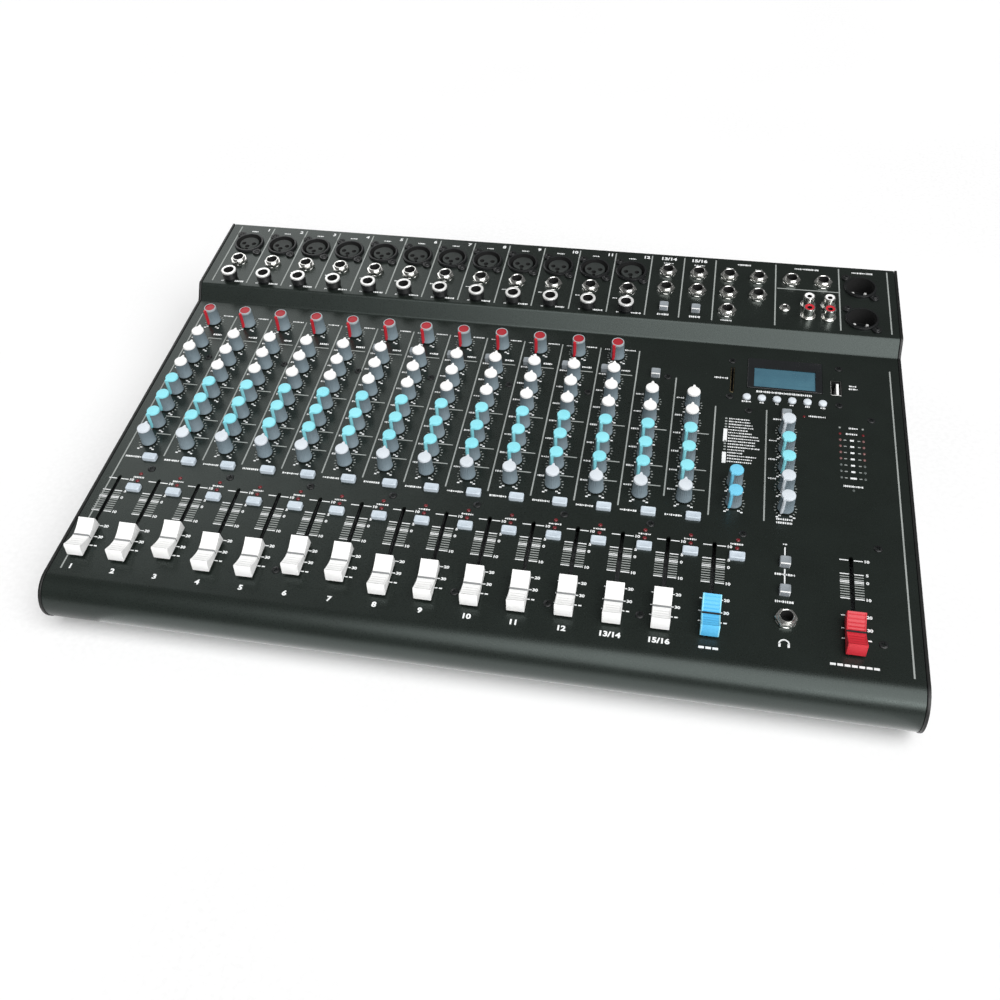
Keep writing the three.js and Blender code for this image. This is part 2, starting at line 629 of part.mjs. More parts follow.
const micSocketBank = () => joined([
  boardOver(MIC_AREA, XLR_BOARD_Z),
  ...monoPlaces(MIC_COLUMN, MIC_ROW).map(micSocket),
]);

const lineJackBank = () => joined([
  boardOver(LINE_AREA, JACK_BOARD_Z),
  ...monoPlaces(LINE_COLUMN, LINE_ROW).map((at) => jack(at, RISE, JACK_BOARD_Z)),
]);

const insertJackBank = () => joined([
  boardOver(INSERT_AREA, JACK_BOARD_Z),
  ...monoPlaces(INSERT_COLUMN, INSERT_ROW).map(insertJack),
]);

const outputJackBank = () => joined([
  ...OUTPUT_AREAS.map((area) => boardOver(area, JACK_BOARD_Z)),
  ...outputJackPlaces.map((at) => jack(at, RISE, JACK_BOARD_Z)),
  ...stereoSwitchPlaces.map((at) => standingButton({ at, shape: SQUARE_BUTTON }, JACK_BOARD_Z, RISE)),
  miniJack(MINI_JACK_PLACE),
]);

const phonoSocketBank = () => joined([boardOver(PHONO_AREA, JACK_BOARD_Z), ...phonoPlaces.map(phonoSocket)]);

const mainOutBank = () => joined([boardOver(MAIN_OUT_AREA, XLR_BOARD_Z), ...mainOutPlaces.map(mainOutPlug)]);

/** The headphone jack, in a moulded case of its own under the control surface. */
function headphoneJack() {
  const [x, y] = [across(HEADPHONE_PLACE[0]), up(HEADPHONE_PLACE[1])];
  const floor = JACK.collar - JACK.depth - BOARD;
  const moulding = pad(x, y, HEADPHONE_CASE, HEADPHONE_CASE, floor - BOARD, -SHEET - 1);
  const bore = prism(x, y, JACK.bore, 8, JACK.collar - JACK.depth, JACK.collar + 1);
  return jack(HEADPHONE_PLACE, 0, floor).add(moulding).subtract(bore);
}

// ---------------------------------------------------------------- player, supply and mains

const displayWindow = () => plate(DISPLAY, -DISPLAY_DEPTH, DISPLAY_PROUD);

/** The player's board, with its card and stick sockets and its row of round buttons. */
function playerBoard() {
  const base = CONTROL_BOARD_Z - BOARD / 2;
  const top = -SHEET - GAP;
  const socket = (area, rim) => plate(area, base, top, rim).subtract(plate(area, CONTROL_BOARD_Z + 1, top + 1));
  const [left, right, low, high] = STICK_SLOT;
  const tongueX = across((left + right) / 2) + STICK_TONGUE.shift;
  const tongue = pad(tongueX, up((low + high) / 2), STICK_TONGUE.width, STICK_TONGUE.depth, base, top);
  const buttons = PLAYER_BUTTON_COLUMNS.map((column) => (
    prism(across(column), up(PLAYER_BUTTON_ROW), PLAYER_BUTTON.radius, 6, base, PLAYER_BUTTON.top)));
  return joined([
    boardOver(PLAYER_AREA, CONTROL_BOARD_Z),
    socket(CARD_SLOT, CARD_RIM),
    socket(STICK_SLOT, STICK_RIM),
    tongue,
    ...buttons,
  ]);
}

/** The flat cable that runs under the boards, from the controls to the connectors. */
function ribbonCable() {
  const low = CONTROL_BOARD_Z - BOARD - GAP;
  const high = JACK_BOARD_Z - BOARD - GAP;
  const path = [[CABLE.foot, low], [CABLE.rise, low], [CABLE.head, high], [CABLE.end, high]];
  return carried(bentSheet(path, CABLE.thickness), CABLE.left, CABLE.right);
}

/** The power supply in its steel can, over the base plate. */
function powerSupply() {
  const rear = REAR_WALL_Y - INLET.depth - SUPPLY.behind;
  const floor = BASE_Z + SHEET + GAP;
  return pad(SUPPLY.x, rear - SUPPLY.depth / 2, SUPPLY.width, SUPPLY.depth, floor, floor + SUPPLY.height);
}

/** A block set into the outside of the rear panel: its centre, size and depth in from the flange's face. */
function rearBlock(x, z, width, height, depth, proud = 0) {
  const outer = REAR_WALL_Y + INLET.flange;
  return box(x - width / 2, x + width / 2, outer - depth, outer + proud, z - height / 2, z + height / 2);
}

/** The moulded housing of the mains socket and its switch, flanged on the outside of the rear wall. */
function mainsInlet() {
  const { x, z, width, height, flange, depth, inset } = INLET;
  const rim = rearBlock(x, z, width, height, flange - GAP);
  const body = rearBlock(x, z, width - 2 * inset, height - 2 * inset, depth);
  const cavity = rearBlock(x + SOCKET.x, z, SOCKET.width, SOCKET.height, SOCKET.depth, 1);
  const well = rearBlock(x + ROCKER_WELL.x, z, ROCKER_WELL.width, ROCKER_WELL.height, ROCKER_WELL.depth, 1);
  const { thickness, height: pinHeight, tip, spread, offset } = SOCKET_PIN;
  const pinPlaces = [[-spread, -offset], [spread, -offset], [0, offset]];
  const pins = pinPlaces.map(([pinX, pinZ]) => (
    rearBlock(x + SOCKET.x + pinX, z + pinZ, thickness, pinHeight, SOCKET.depth + 1, -tip)));
  return joined([rim.add(body).subtract(cavity).subtract(well), ...pins]);
}

/** The power rocker about its pivot, facing +Y. */
function rocker() {
  const { width, half, reach, dip, back, heel, shoulder } = ROCKER;
  const outline = [
    [reach, -half], [reach - dip, 0], [reach, half], [shoulder, half],
    [-back, heel], [-back, -heel], [shoulder, -half],
  ];
  return carried(outline, -width / 2, width / 2);
}

// ---------------------------------------------------------------- assembly

const group = new THREE.Group();
const deck = new THREE.Group();
deck.position.set(0, DECK_Y, DECK_Z);
deck.rotation.x = TILT;
group.add(deck);

/** Adds one named part to a group, at a place and rotation in it. */
function place(parent, name, solid, material, position = [0, 0, 0], rotation = [0, 0, 0]) {
  const mesh = new THREE.Mesh(geometryOf(solid), material);
  mesh.name = name;
  mesh.position.set(...position);
  mesh.rotation.set(...rotation);
  parent.add(mesh);
}

place(deck, 'top_panel', topPanel(), blackPaint);
place(group, 'base_tray', baseTray(), blackPaint);
place(group, 'left_end_plate', endPlate(-1), blackPaint);
place(group, 'right_end_plate', endPlate(1), blackPaint);
place(group, 'foot_front_left', foot(-FEET.x, FEET.front), rubber);
place(group, 'foot_front_right', foot(FEET.x, FEET.front), rubber);
place(group, 'foot_rear_left', foot(-FEET.x, FEET.rear), rubber);
place(group, 'foot_rear_right', foot(FEET.x, FEET.rear), rubber);

place(deck, 'control_board', controlBoard(), slatePlastic);
place(deck, 'fader_board', faderBoard(), greenBoard);
place(deck, 'mic_socket_bank', micSocketBank(), blackPlastic);
place(deck, 'line_jack_bank', lineJackBank(), nickel);
place(deck, 'insert_jack_bank', insertJackBank(), blackPlastic);
place(deck, 'output_jack_bank', outputJackBank(), nickel);
place(deck, 'phono_socket_bank', phonoSocketBank(), nickel);
place(deck, 'main_output_bank', mainOutBank(), blackPlastic);
place(deck, 'headphone_jack', headphoneJack(), nickel);
place(deck, 'display_window', displayWindow(), displayGlass);
place(deck, 'player_board', playerBoard(), greenBoard);
place(deck, 'ribbon_cable', ribbonCable(), cableGrey);
place(group, 'power_supply', powerSupply(), supplySteel);
place(group, 'mains_inlet', mainsInlet(), blackPlastic);

const rockerPlace = [INLET.x + ROCKER_WELL.x, REAR_WALL_Y + INLET.flange - ROCKER.pivot, INLET.z];
place(group, 'power_rocker', rocker(), blackPlastic, rockerPlace, [ROCKER_OFF, 0, 0]);

for (const { name, column, row, cap, rest } of movingKnobs) {
  place(deck, `knob_${name}`, knob(), cap, [across(column), up(row), 0], [0, 0, rest]);
}
for (const { name, column, rest, cap } of faders) {
  place(deck, `fader_${name}`, fader(), cap, [across(column), up(rest), 0]);
}
for (const { name, at: [column, row], shape, color } of movingButtons) {
  place(deck, `button_${name}`, button(shape), color, [across(column), up(row), 0]);
}

export default group;
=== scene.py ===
"""The looks of a sixteen-input mixing console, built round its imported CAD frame.

Shapes are made in millimetres and become objects in metres. Most are made in the deck frame: x across
from the first strip's left line, y up the slope of the control surface, z out of it. Columns and rows
on the deck are in channel pitches, the width of one channel strip.
"""
import json
import math
import random

import bmesh
import bpy
from mathutils import Euler, Matrix, Vector


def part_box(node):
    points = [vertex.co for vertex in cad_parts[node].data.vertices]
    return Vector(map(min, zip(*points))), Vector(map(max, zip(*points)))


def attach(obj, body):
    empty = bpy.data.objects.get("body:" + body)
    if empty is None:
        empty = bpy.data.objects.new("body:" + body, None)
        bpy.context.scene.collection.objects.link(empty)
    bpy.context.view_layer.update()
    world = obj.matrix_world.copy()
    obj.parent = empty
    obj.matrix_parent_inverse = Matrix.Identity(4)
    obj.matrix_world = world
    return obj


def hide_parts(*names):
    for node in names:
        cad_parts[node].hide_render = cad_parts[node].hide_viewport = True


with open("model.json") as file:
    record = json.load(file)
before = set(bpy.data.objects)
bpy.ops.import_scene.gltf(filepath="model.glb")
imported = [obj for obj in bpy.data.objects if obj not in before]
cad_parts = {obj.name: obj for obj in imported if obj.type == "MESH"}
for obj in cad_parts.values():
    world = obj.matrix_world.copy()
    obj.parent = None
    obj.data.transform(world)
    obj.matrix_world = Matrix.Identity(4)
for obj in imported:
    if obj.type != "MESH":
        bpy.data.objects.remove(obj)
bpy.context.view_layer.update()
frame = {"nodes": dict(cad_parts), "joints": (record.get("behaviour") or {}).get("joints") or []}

MM = 0.001
random.seed(16)

# ---------------------------------------------------------------- where the deck stands

KNOB_COLUMN = 0.45
MASTER_COLUMN = 15.7
PAN_ROW = 0.418
JOINT_HEIGHT = 7

joints = {joint["name"]: joint for joint in frame["joints"]}
slope = Vector(joints["fader_main_travel"]["axis"]).normalized()
outward = -Vector(joints["button_1_mute_press"]["axis"]).normalized()
first_pan = Vector(joints["knob_1_pan_turn"]["pos_m"]) / MM
last_knob = Vector(joints["knob_control_room_level_turn"]["pos_m"]) / MM
PITCH = (last_knob.x - first_pan.x) / (MASTER_COLUMN - KNOB_COLUMN)
ORIGIN = first_pan - Vector((KNOB_COLUMN * PITCH, 0, 0)) - slope * PAN_ROW * PITCH - outward * JOINT_HEIGHT
DECK = Matrix.Translation(ORIGIN * MM) @ Matrix((Vector((1, 0, 0)), slope, outward)).transposed().to_4x4()
TILT = math.atan2(slope.z, slope.y)


def shifted(x, y, turn=0):
    """A move in millimetres, with a turn about the upright axis in degrees."""
    return Matrix.Translation(Vector((x, y, 0)) * MM) @ Matrix.Rotation(math.radians(turn), 4, "Z")


def node_box(node):
    """A CAD node's corners in millimetres, in the console's frame."""
    low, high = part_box(node)
    return low / MM, high / MM


def to_deck(x, y, z):
    """A console point in the deck frame, both in millimetres."""
    return DECK.inverted() @ (Vector((x, y, z)) * MM) / MM


# ---------------------------------------------------------------- driving dimensions, as in the CAD

SHEET = 1.5
GAP = 0.3
NOSE_RADIUS = 17.5
NOSE_REACH = 105.5
NOSE_STEPS = 60
RISER_FOOT = 164.7
RISER_HEAD = 173.9
RISE = 10.4
REAR_EDGE = 252.8
LIP_LENGTH = 14
REAR_FLANGE = 10
END_PLATE = 2
END_PLATE_PROUD = 0.5
BEND_RADIUS = 3

MONO_STRIPS = 12
INPUT_STRIPS = 14
STRIP_FADERS = 15
FADER_COLUMN = 0.203
BUTTON_COLUMN = 0.69
LOW_CUT_COLUMN = 0.19
EFFECTS_KNOB_COLUMN = 14.555
MAIN_FADER_COLUMN = 17.08
PLAYER_BUTTON_COLUMNS = [14.748 + 0.3632 * i for i in range(6)]

KNOB_STEP = 0.602
GAIN_ROW = 4.96
LOW_CUT_ROW = 4.42
LISTEN_ROW = -0.103
MUTE_ROW = -1.088
PHANTOM_ROW = 3.38
ROUTING_ROWS = [-1.11, -1.86]
PLAYER_BUTTON_ROW = 3.91
SLOT_TOP = -0.735
SLOT_BOTTOM = -2.96
FADER_RESTS = [
    -2.75, -2.76, -2.55, -2.75, -2.76, -2.555, -2.585, -2.79,
    -2.775, -2.775, -2.775, -2.745, -2.78, -2.77, -2.79, -2.81,
]

MIC = (0.49, 7.994)
LINE = (0.47, 7.184)
INSERT = (0.495, 6.41)
STEREO_COLUMNS = [12.475, 13.302]
AUX_COLUMNS = [14.115, 14.885]
CONTROL_ROOM_COLUMNS = [15.745, 16.566]
OUTPUT_ROWS = [8.1, 7.364, 6.634]
STEREO_SWITCH_ROW = 6.614
MINI_JACK = (15.58, 6.954)
PHONO_COLUMNS = [16.165, 16.68]
PHONO_ROWS = [7.179, 6.724]
MAIN_OUT_COLUMN = 17.515
MAIN_OUT_ROWS = [8.014, 6.734]
HEADPHONE = (15.73, -2.57)

DISPLAY = (14.745, 16.56, 4.235, 5.315)
DISPLAY_GLASS = (14.91, 16.4, 4.29, 4.985)
CARD_SLOT = (14.333, 14.423, 4.026, 4.923)
STICK_SLOT = (16.763, 17.02, 4.24, 4.76)

BOARD = 1.6
CONTROL_BOARD_Z = -12
FADER_BOARD_Z = -17
JACK_BOARD_Z = RISE - 16
XLR_BOARD_Z = RISE - 24
CHANNEL_AREA = (0.03, 13.95, -0.4, 5.25)
MASTER_AREA = (13.9, 17.75, -0.4, 3.4)
FADER_AREA = (0, 17.6, -3.3, -0.47)
PLAYER_AREA = (14.2, 17.2, 3.75, 5.32)
MIC_AREA = (0.05, 11.95, 7.574, 8.414)
LINE_AREA = (0.1, 11.9, 6.9, 7.46)
INSERT_AREA = (0.1, 11.9, 6.15, 6.67)
OUTPUT_AREAS = [(12.15, 15.25, 6.35, 8.38), (15.2, 16.9, 7.8, 8.38), (15.2, 15.85, 6.7, 7.85)]
PHONO_AREA = (15.93, 16.93, 6.48, 7.42)
MAIN_OUT_AREA = (17.12, 17.92, 6.3, 8.44)


def knob_row(step):
    """The row of the knob so many steps above the pan knob."""
    return PAN_ROW + step * KNOB_STEP


def deck_at(column, row):
    """A place in pitches, in millimetres."""
    return column * PITCH, row * PITCH


def polar(reach, degrees):
    """The x and y of a point this far out, this many degrees round from x."""
    return reach * math.cos(math.radians(degrees)), reach * math.sin(math.radians(degrees))


def new_object(name, data):
    """An object in the scene."""
    made = bpy.data.objects.new(name, data)
    bpy.context.scene.collection.objects.link(made)
    return made


def evaluated_mesh(obj):
    """An object's mesh with its modifiers or its letters worked out."""
    graph = bpy.context.evaluated_depsgraph_get()
    return bpy.data.meshes.new_from_object(obj.evaluated_get(graph))


# ---------------------------------------------------------------- materials


def linear(hex_colour):
    """A '#rrggbb' screen colour as the linear RGBA that shaders take."""
    channels = [int(hex_colour[i:i + 2], 16) / 255 for i in (1, 3, 5)]
    curve = [c / 12.92 if c <= 0.04045 else ((c + 0.055) / 1.055) ** 2.4 for c in channels]
    return (*curve, 1)


class Nodes:
    """A material's node tree, with short ways to add a node and to join two."""

    def __init__(self, name):
        self.material = bpy.data.materials.new(name)
        self.material.use_nodes = True
        self.tree = self.material.node_tree
        self.shader = self.tree.nodes["Principled BSDF"]
        self.place = self.add("ShaderNodeTexCoord").outputs["Object"]

    def add(self, kind, **values):
        node = self.tree.nodes.new(kind)
        for key, value in values.items():
            setattr(node, key, value)
        return node

    def join(self, output, target):
        self.tree.links.new(output, target)

    def noise(self, scale, detail=3, stretch=(1, 1, 1)):
        """Noise over the object, scale features to the metre. A small stretch draws it out."""
        mapping = self.add("ShaderNodeMapping")
        mapping.inputs["Scale"].default_value = stretch
        self.join(self.place, mapping.inputs["Vector"])
        node = self.add("ShaderNodeTexNoise")
        node.inputs["Scale"].default_value = scale
        node.inputs["Detail"].default_value = detail
        self.join(mapping.outputs["Vector"], node.inputs["Vector"])
        return node.outputs["Fac"]

    def range(self, value, low, high, start=0.35, end=0.65):
        """A 0-1 pattern's middle spread over another range."""
        node = self.add("ShaderNodeMapRange")
        for socket, number in (("From Min", start), ("From Max", end), ("To Min", low), ("To Max", high)):
            node.inputs[socket].default_value = number
        self.join(value, node.inputs["Value"])
        return node.outputs["Result"]

    def blend(self, factor, dark, light):
        """A colour that goes from dark to light with a factor."""
        node = self.add("ShaderNodeMix", data_type="RGBA")
        self.join(factor, node.inputs["Factor"])
        for socket, colour in (("A", dark), ("B", light)):
            target = next(s for s in node.inputs if s.name == socket and s.type == "RGBA")
            if isinstance(colour, str):
                target.default_value = linear(colour)
            else:
                self.join(colour, target)
        return next(s for s in node.outputs if s.type == "RGBA")

    def bump(self, height, strength, depth):
        node = self.add("ShaderNodeBump")
        node.inputs["Strength"].default_value = strength
        node.inputs["Distance"].default_value = depth * MM
        self.join(height, node.inputs["Height"])
        self.join(node.outputs["Normal"], self.shader.inputs["Normal"])

    def set(self, **values):
        for name, value in values.items():
            self.shader.inputs[name.replace("_", " ")].default_value = value


def surface(name, dark, light, rough, metal=0, patch=45, grain=1500, bump=0.15, depth=0.05,
            stretch=(1, 1, 1), **extra):
    """A finish with uneven colour, uneven gloss and a fine relief."""
    nodes = Nodes(name)
    patches = nodes.noise(patch, 4)
    fine = nodes.noise(grain, 2, stretch)
    speckle = nodes.range(fine, 0.0, 1.0)
    mottled = nodes.blend(nodes.range(patches, 0, 1), dark, light)
    nodes.join(nodes.blend(speckle, mottled, light), nodes.shader.inputs["Base Color"])
    nodes.join(nodes.range(fine, *rough), nodes.shader.inputs["Roughness"])
    nodes.bump(fine, bump, depth)
    nodes.set(Metallic=metal, **extra)
    return nodes.material


def glowing(name, dark, light, glow, strength):
    """Tinted plastic with a little light of its own."""
    material = surface(name, dark, light, (0.2, 0.3), grain=900, bump=0.05)
    shader = material.node_tree.nodes["Principled BSDF"]
    shader.inputs["Emission Color"].default_value = linear(glow)
    shader.inputs["Emission Strength"].default_value = strength
    return material


def circuit_board():
    """Green lacquer over copper tracks."""
    nodes = Nodes("circuit_green")
    bricks = nodes.add("ShaderNodeTexBrick")
    bricks.inputs["Scale"].default_value = 90
    bricks.inputs["Mortar Size"].default_value = 0.03
    nodes.join(nodes.place, bricks.inputs["Vector"])
    patches = nodes.noise(70, 3)
    lacquer = nodes.blend(nodes.range(patches, 0, 1), "#14401f", "#1f5a35")
    nodes.join(nodes.blend(bricks.outputs["Fac"], lacquer, "#4a7a40"), nodes.shader.inputs["Base Color"])
    nodes.join(nodes.range(patches, 0.3, 0.5), nodes.shader.inputs["Roughness"])
    nodes.bump(bricks.outputs["Fac"], 0.4, 0.05)
    return nodes.material


def ribbon():
    """A flat cable's insulated wires, side by side."""
    nodes = Nodes("ribbon_grey")
    wires = nodes.add("ShaderNodeTexWave", wave_type="BANDS", bands_direction="X")
    wires.inputs["Scale"].default_value = 250
    nodes.join(nodes.place, wires.inputs["Vector"])
    nodes.join(nodes.blend(wires.outputs["Fac"], "#6f7276", "#a5a8ab"), nodes.shader.inputs["Base Color"])
    nodes.join(nodes.range(nodes.noise(300), 0.5, 0.7), nodes.shader.inputs["Roughness"])
    nodes.bump(wires.outputs["Fac"], 0.8, 0.3)
    return nodes.material


def display_glass():
    """The unlit window: a teal ground with a faint grid of dots."""
    nodes = Nodes("display_teal")
    dots = nodes.add("ShaderNodeTexVoronoi", feature="F1", distance="CHEBYCHEV")
    dots.inputs["Scale"].default_value = 1400
    dots.inputs["Randomness"].default_value = 0
    nodes.join(nodes.place, dots.inputs["Vector"])
    ground = nodes.blend(nodes.range(nodes.noise(60), 0, 1), "#3d6577", "#487383")
    nodes.join(nodes.blend(nodes.range(dots.outputs["Distance"], 0, 1, 0.4, 0.5), ground, "#426b7c"),
               nodes.shader.inputs["Base Color"])
    nodes.join(nodes.range(nodes.noise(500), 0.25, 0.35), nodes.shader.inputs["Roughness"])
    nodes.bump(dots.outputs["Distance"], 0.05, 0.05)
    nodes.set(Coat_Weight=0.6, Coat_Roughness=0.1)
    return nodes.material


# Each cap plastic's darker and lighter colour, its roughest end and its relief.
CAP_PLASTICS = (
    ("red", "#b71a27", "#d02a38", 0.52, 0.15),
    # The darker red for the gain knob's dished top is painted shade, the red of the cap darkened where its
    # inset falls in shadow.
    ("red_painted_shade", "#8f1721", "#a8202c", 0.52, 0.15),
    ("white", "#ececea", "#fbfbfa", 0.55, 0.12),
    ("cyan", "#7cd6e4", "#94e4ef", 0.55, 0.15),
    ("blue", "#45aee8", "#5cc0f0", 0.55, 0.15),
    ("pale_blue", "#62bfe2", "#7bd0ee", 0.55, 0.15),
    ("sky", "#7fd6f4", "#98e2f8", 0.55, 0.15),
    ("silver", "#c8d0d8", "#dbe2e8", 0.55, 0.15),
)
FINISHES = {
    "panel": surface("panel_paint", "#131714", "#191e1b", (0.26, 0.36), bump=0.25, depth=0.05, grain=2200,
                     Specular_Tint=(0.86, 0.99, 0.95, 1)),
    "plate": surface("end_plate_paint", "#070807", "#0e0f0e", (0.4, 0.55), bump=0.35, depth=0.06),
    "rubber": surface("rubber_black", "#0d0d0d", "#181818", (0.75, 0.95), bump=0.5, depth=0.1, grain=900),
    "slate": surface("knob_slate", "#72828b", "#84939b", (0.5, 0.65), bump=0.25, depth=0.05, grain=1800),
    # The pale grey for the gain knob's top rim is a painted highlight of the bevelled edge catching the
    # light.
    "painted_rim_highlight": surface("knob_rim_painted_highlight", "#98a3a8", "#aab4b8", (0.5, 0.6), grain=1800),
    **{name: surface(f"cap_{name}", dark, light, (0.4, end), grain=1800, bump=bump)
       for name, dark, light, end, bump in CAP_PLASTICS},
    "line_grey": surface("line_grey", "#77797a", "#8b8d8e", (0.5, 0.6)),
    "line_black": surface("line_black", "#101214", "#1c1e20", (0.5, 0.6)),
    "button_grey": surface("button_grey", "#7f868b", "#92999e", (0.45, 0.6), grain=1800),
    "button_blue": surface("button_blue", "#b9c6d2", "#ccd7e0", (0.25, 0.35), grain=1800),
    "print": surface("print_white", "#d9dcdc", "#f2f4f4", (0.55, 0.7), bump=0.1, depth=0.02),
    "print_dim": surface("print_grey", "#8a8f8c", "#a0a5a2", (0.55, 0.7), bump=0.1, depth=0.02),
    "led": glowing("led_red", "#4e1015", "#6c1a20", "#ff2a2a", 0.02),
    "led_pale": surface("led_pale", "#5c3a3a", "#87605e", (0.25, 0.4), grain=900, bump=0.05),
    "led_off": surface("led_grey", "#4d5351", "#626866", (0.25, 0.4), grain=900, bump=0.05),
    "core": surface("socket_grey", "#1b1f1e", "#282d2b", (0.5, 0.65), bump=0.2, depth=0.05),
    "bright": surface("jack_ring", "#e2e3e2", "#f4f4f2", (0.3, 0.4), 0.4, grain=900, bump=0.05),
    "black": surface("black_plastic", "#0b0c0d", "#151718", (0.3, 0.45), bump=0.2, depth=0.05),
    # Near-black for the walls of holes and hollows: painted shade in recesses, darker than the black
    # plastic around them.
    "pit": surface("painted_shade_black", "#050505", "#0a0a0a", (0.8, 0.95)),
    "bezel": surface("bezel_gloss", "#16181a", "#1e2022", (0.16, 0.26), bump=0.05, depth=0.02),
    "chrome": surface("nickel", "#d2d2cf", "#e6e6e2", (0.16, 0.28), 1, grain=900, bump=0.05, depth=0.03),
    "brass": surface("card_brass", "#4c4536", "#8d8266", (0.3, 0.45), 1, patch=600, grain=900, bump=0.1),
    "steel": surface("supply_steel", "#8f9193", "#a9abad", (0.3, 0.5), 1, patch=120, stretch=(0.05, 1, 1)),
    "board": circuit_board(),
    "ribbon": ribbon(),
    "glass": display_glass(),
}
FINISH_ORDER = list(FINISHES)


# ---------------------------------------------------------------- building blocks


class Build:
    """Closed shapes gathered into one mesh, in millimetres, each face with its finish."""

    def __init__(self):
        self.points = []
        self.faces = []
        self.finishes = []

    def add(self, points, faces, finishes):
        first = len(self.points)
        self.points += points
        self.faces += [[first + i for i in face] for face in faces]
        self.finishes += finishes
        return self

    def loft(self, rings, finish, hoop=False):
        """A closed solid through rings of as many points, capped at both ends or, for a hoop, joined end
        to end. finish is one name, or one for each band between two rings."""
        count = len(rings[0])
        spans = len(rings) if hoop else len(rings) - 1
        bands = [finish] * spans if isinstance(finish, str) else finish
        faces, finishes = [], []
        for band, name in enumerate(bands):
            low, high = band * count, (band + 1) % len(rings) * count
            for i in range(count):
                j = (i + 1) % count
                faces.append([low + i, low + j, high + j, high + i])
                finishes.append(name)
        if not hoop:
            faces += [list(range(count)), list(range(spans * count, (spans + 1) * count))]
            finishes += [bands[0], bands[-1]]
        return self.add([Vector(point) for ring in rings for point in ring], faces, finishes)

    def place(self, other, matrix):
        """A copy of another build, moved by a matrix in millimetres."""
        return self.add([matrix @ point for point in other.points], other.faces, other.finishes)

    def stamp(self, other, x=0, y=0, z=0, turn=0):
        """A copy of another build, turned about the upright axis and moved."""
        spin = Matrix.Rotation(math.radians(turn), 4, "Z")
        return self.place(other, Matrix.Translation((x, y, z)) @ spin)

    def mesh(self, name="part"):
        """The shapes as a mesh in metres whose material numbers follow FINISH_ORDER."""
        mesh = bpy.data.meshes.new(name)
        mesh.from_pydata([point * MM for point in self.points], [], self.faces)
        mesh.polygons.foreach_set("material_index", [FINISH_ORDER.index(name) for name in self.finishes])
        work = bmesh.new()
        work.from_mesh(mesh)
        bmesh.ops.recalc_face_normals(work, faces=work.faces)
        work.to_mesh(mesh)
        work.free()
        return mesh


def read_back(mesh):
    """A mesh in metres as a build."""
    return Build().add(
        [vertex.co / MM for vertex in mesh.vertices],
        [list(polygon.vertices) for polygon in mesh.polygons],
        [FINISH_ORDER[polygon.material_index] for polygon in mesh.polygons],
    )


def carved(build, cutter):
    """A build with another cut out of it. Cut faces keep the cutter's finish."""
    objects = [new_object("carving", each.mesh()) for each in (build, cutter)]
    for obj in objects:
        for material in FINISHES.values():
            obj.data.materials.append(material)
    cut = objects[0].modifiers.new("cut", "BOOLEAN")
    cut.operation = "DIFFERENCE"
    cut.solver = "EXACT"
    cut.object = objects[1]
    done = read_back(evaluated_mesh(objects[0]))
    for obj in objects:
        bpy.data.objects.remove(obj)
    return done


# A face whose normal is this near to straight up or down is shaded flat.
UPRIGHT = 0.99999


def publish(build, name, body="console", stands_for=(), place=DECK, crease=32):
    """A build as a named piece on a body. Edges sharper than crease degrees stay sharp."""
    mesh = build.mesh(name)
    used = sorted({polygon.material_index for polygon in mesh.polygons})
    for index in used:
        mesh.materials.append(FINISHES[FINISH_ORDER[index]])
    for polygon in mesh.polygons:
        polygon.material_index = used.index(polygon.material_index)
        polygon.use_smooth = abs(polygon.normal.z) < UPRIGHT
    mesh.set_sharp_from_angle(angle=math.radians(crease))
    piece = new_object(name, mesh)
    if body == "console":
        mesh.transform(place)
    else:
        piece.matrix_world = place
    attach(piece, body)
    if stands_for:
        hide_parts(*stands_for)
    return piece


def circle(radius, z, sides=32, centre=(0, 0), wave=0):
    """A ring of points. wave pulls every second point in."""
    points = []
    for i in range(sides):
        turn = 2 * math.pi * (i + 0.5) / sides
        reach = radius - wave * (i % 2)
        points.append((centre[0] + reach * math.cos(turn), centre[1] + reach * math.sin(turn), z))
    return points


def rings_of(profile, sides=32, wave=0):
    """A circle for each [radius, height] pair."""
    return [circle(radius, z, sides, wave=wave) for radius, z in profile]


def turned(profile, finish, sides=32):
    """A turned solid from [radius, height] pairs, capped at its first and last radius."""
    return Build().loft(rings_of(profile, sides), finish)


def rounded(width, depth, corner, z, centre=(0, 0), steps=4):
    """A ring with the outline of a rounded rectangle."""
    corner = min(corner, width / 2 - 0.01, depth / 2 - 0.01)
    points = []
    for quarter, (sx, sy) in enumerate(((1, 1), (-1, 1), (-1, -1), (1, -1))):
        middle = (sx * (width / 2 - corner), sy * (depth / 2 - corner))
        for step in range(steps + 1):
            turn = math.pi / 2 * (quarter + step / steps)
            points.append((
                centre[0] + middle[0] + corner * math.cos(turn),
                centre[1] + middle[1] + corner * math.sin(turn), z,
            ))
    return points


EDGE_STEPS = 3
DISH_SHARE = 0.6


def block(width, depth, low, high, finish, corner=0.5, edge=0.4, centre=(0, 0), dish=0):
    """An upright block with rounded corners, a rounded upper edge and, if asked, a dished top."""
    rings = [rounded(width, depth, corner, low, centre)]
    for step in range(EDGE_STEPS + 1):
        turn = math.pi / 2 * step / EDGE_STEPS
        inset = 2 * edge * (1 - math.cos(turn))
        level = high - edge + edge * math.sin(turn)
        rings.append(rounded(width - inset, depth - inset, corner, level, centre))
    if dish:
        rings.append(rounded(width * DISH_SHARE, depth * DISH_SHARE, corner, high - dish, centre))
    return Build().loft(rings, finish)


def area_block(area, low, high, finish, margin=0, **shape):
    """A block over an area given as left, right, foot and head in pitches."""
    left, right, foot, head = (value * PITCH for value in area)
    centre = ((left + right) / 2, (foot + head) / 2)
    width, depth = right - left + 2 * margin, head - foot + 2 * margin
    return block(width, depth, low, high, finish, centre=centre, **shape)


def circuit(area, top):
    """A circuit board over an area, its upper face at a height."""
    return area_block(area, top - BOARD, top, "board", edge=0.1)


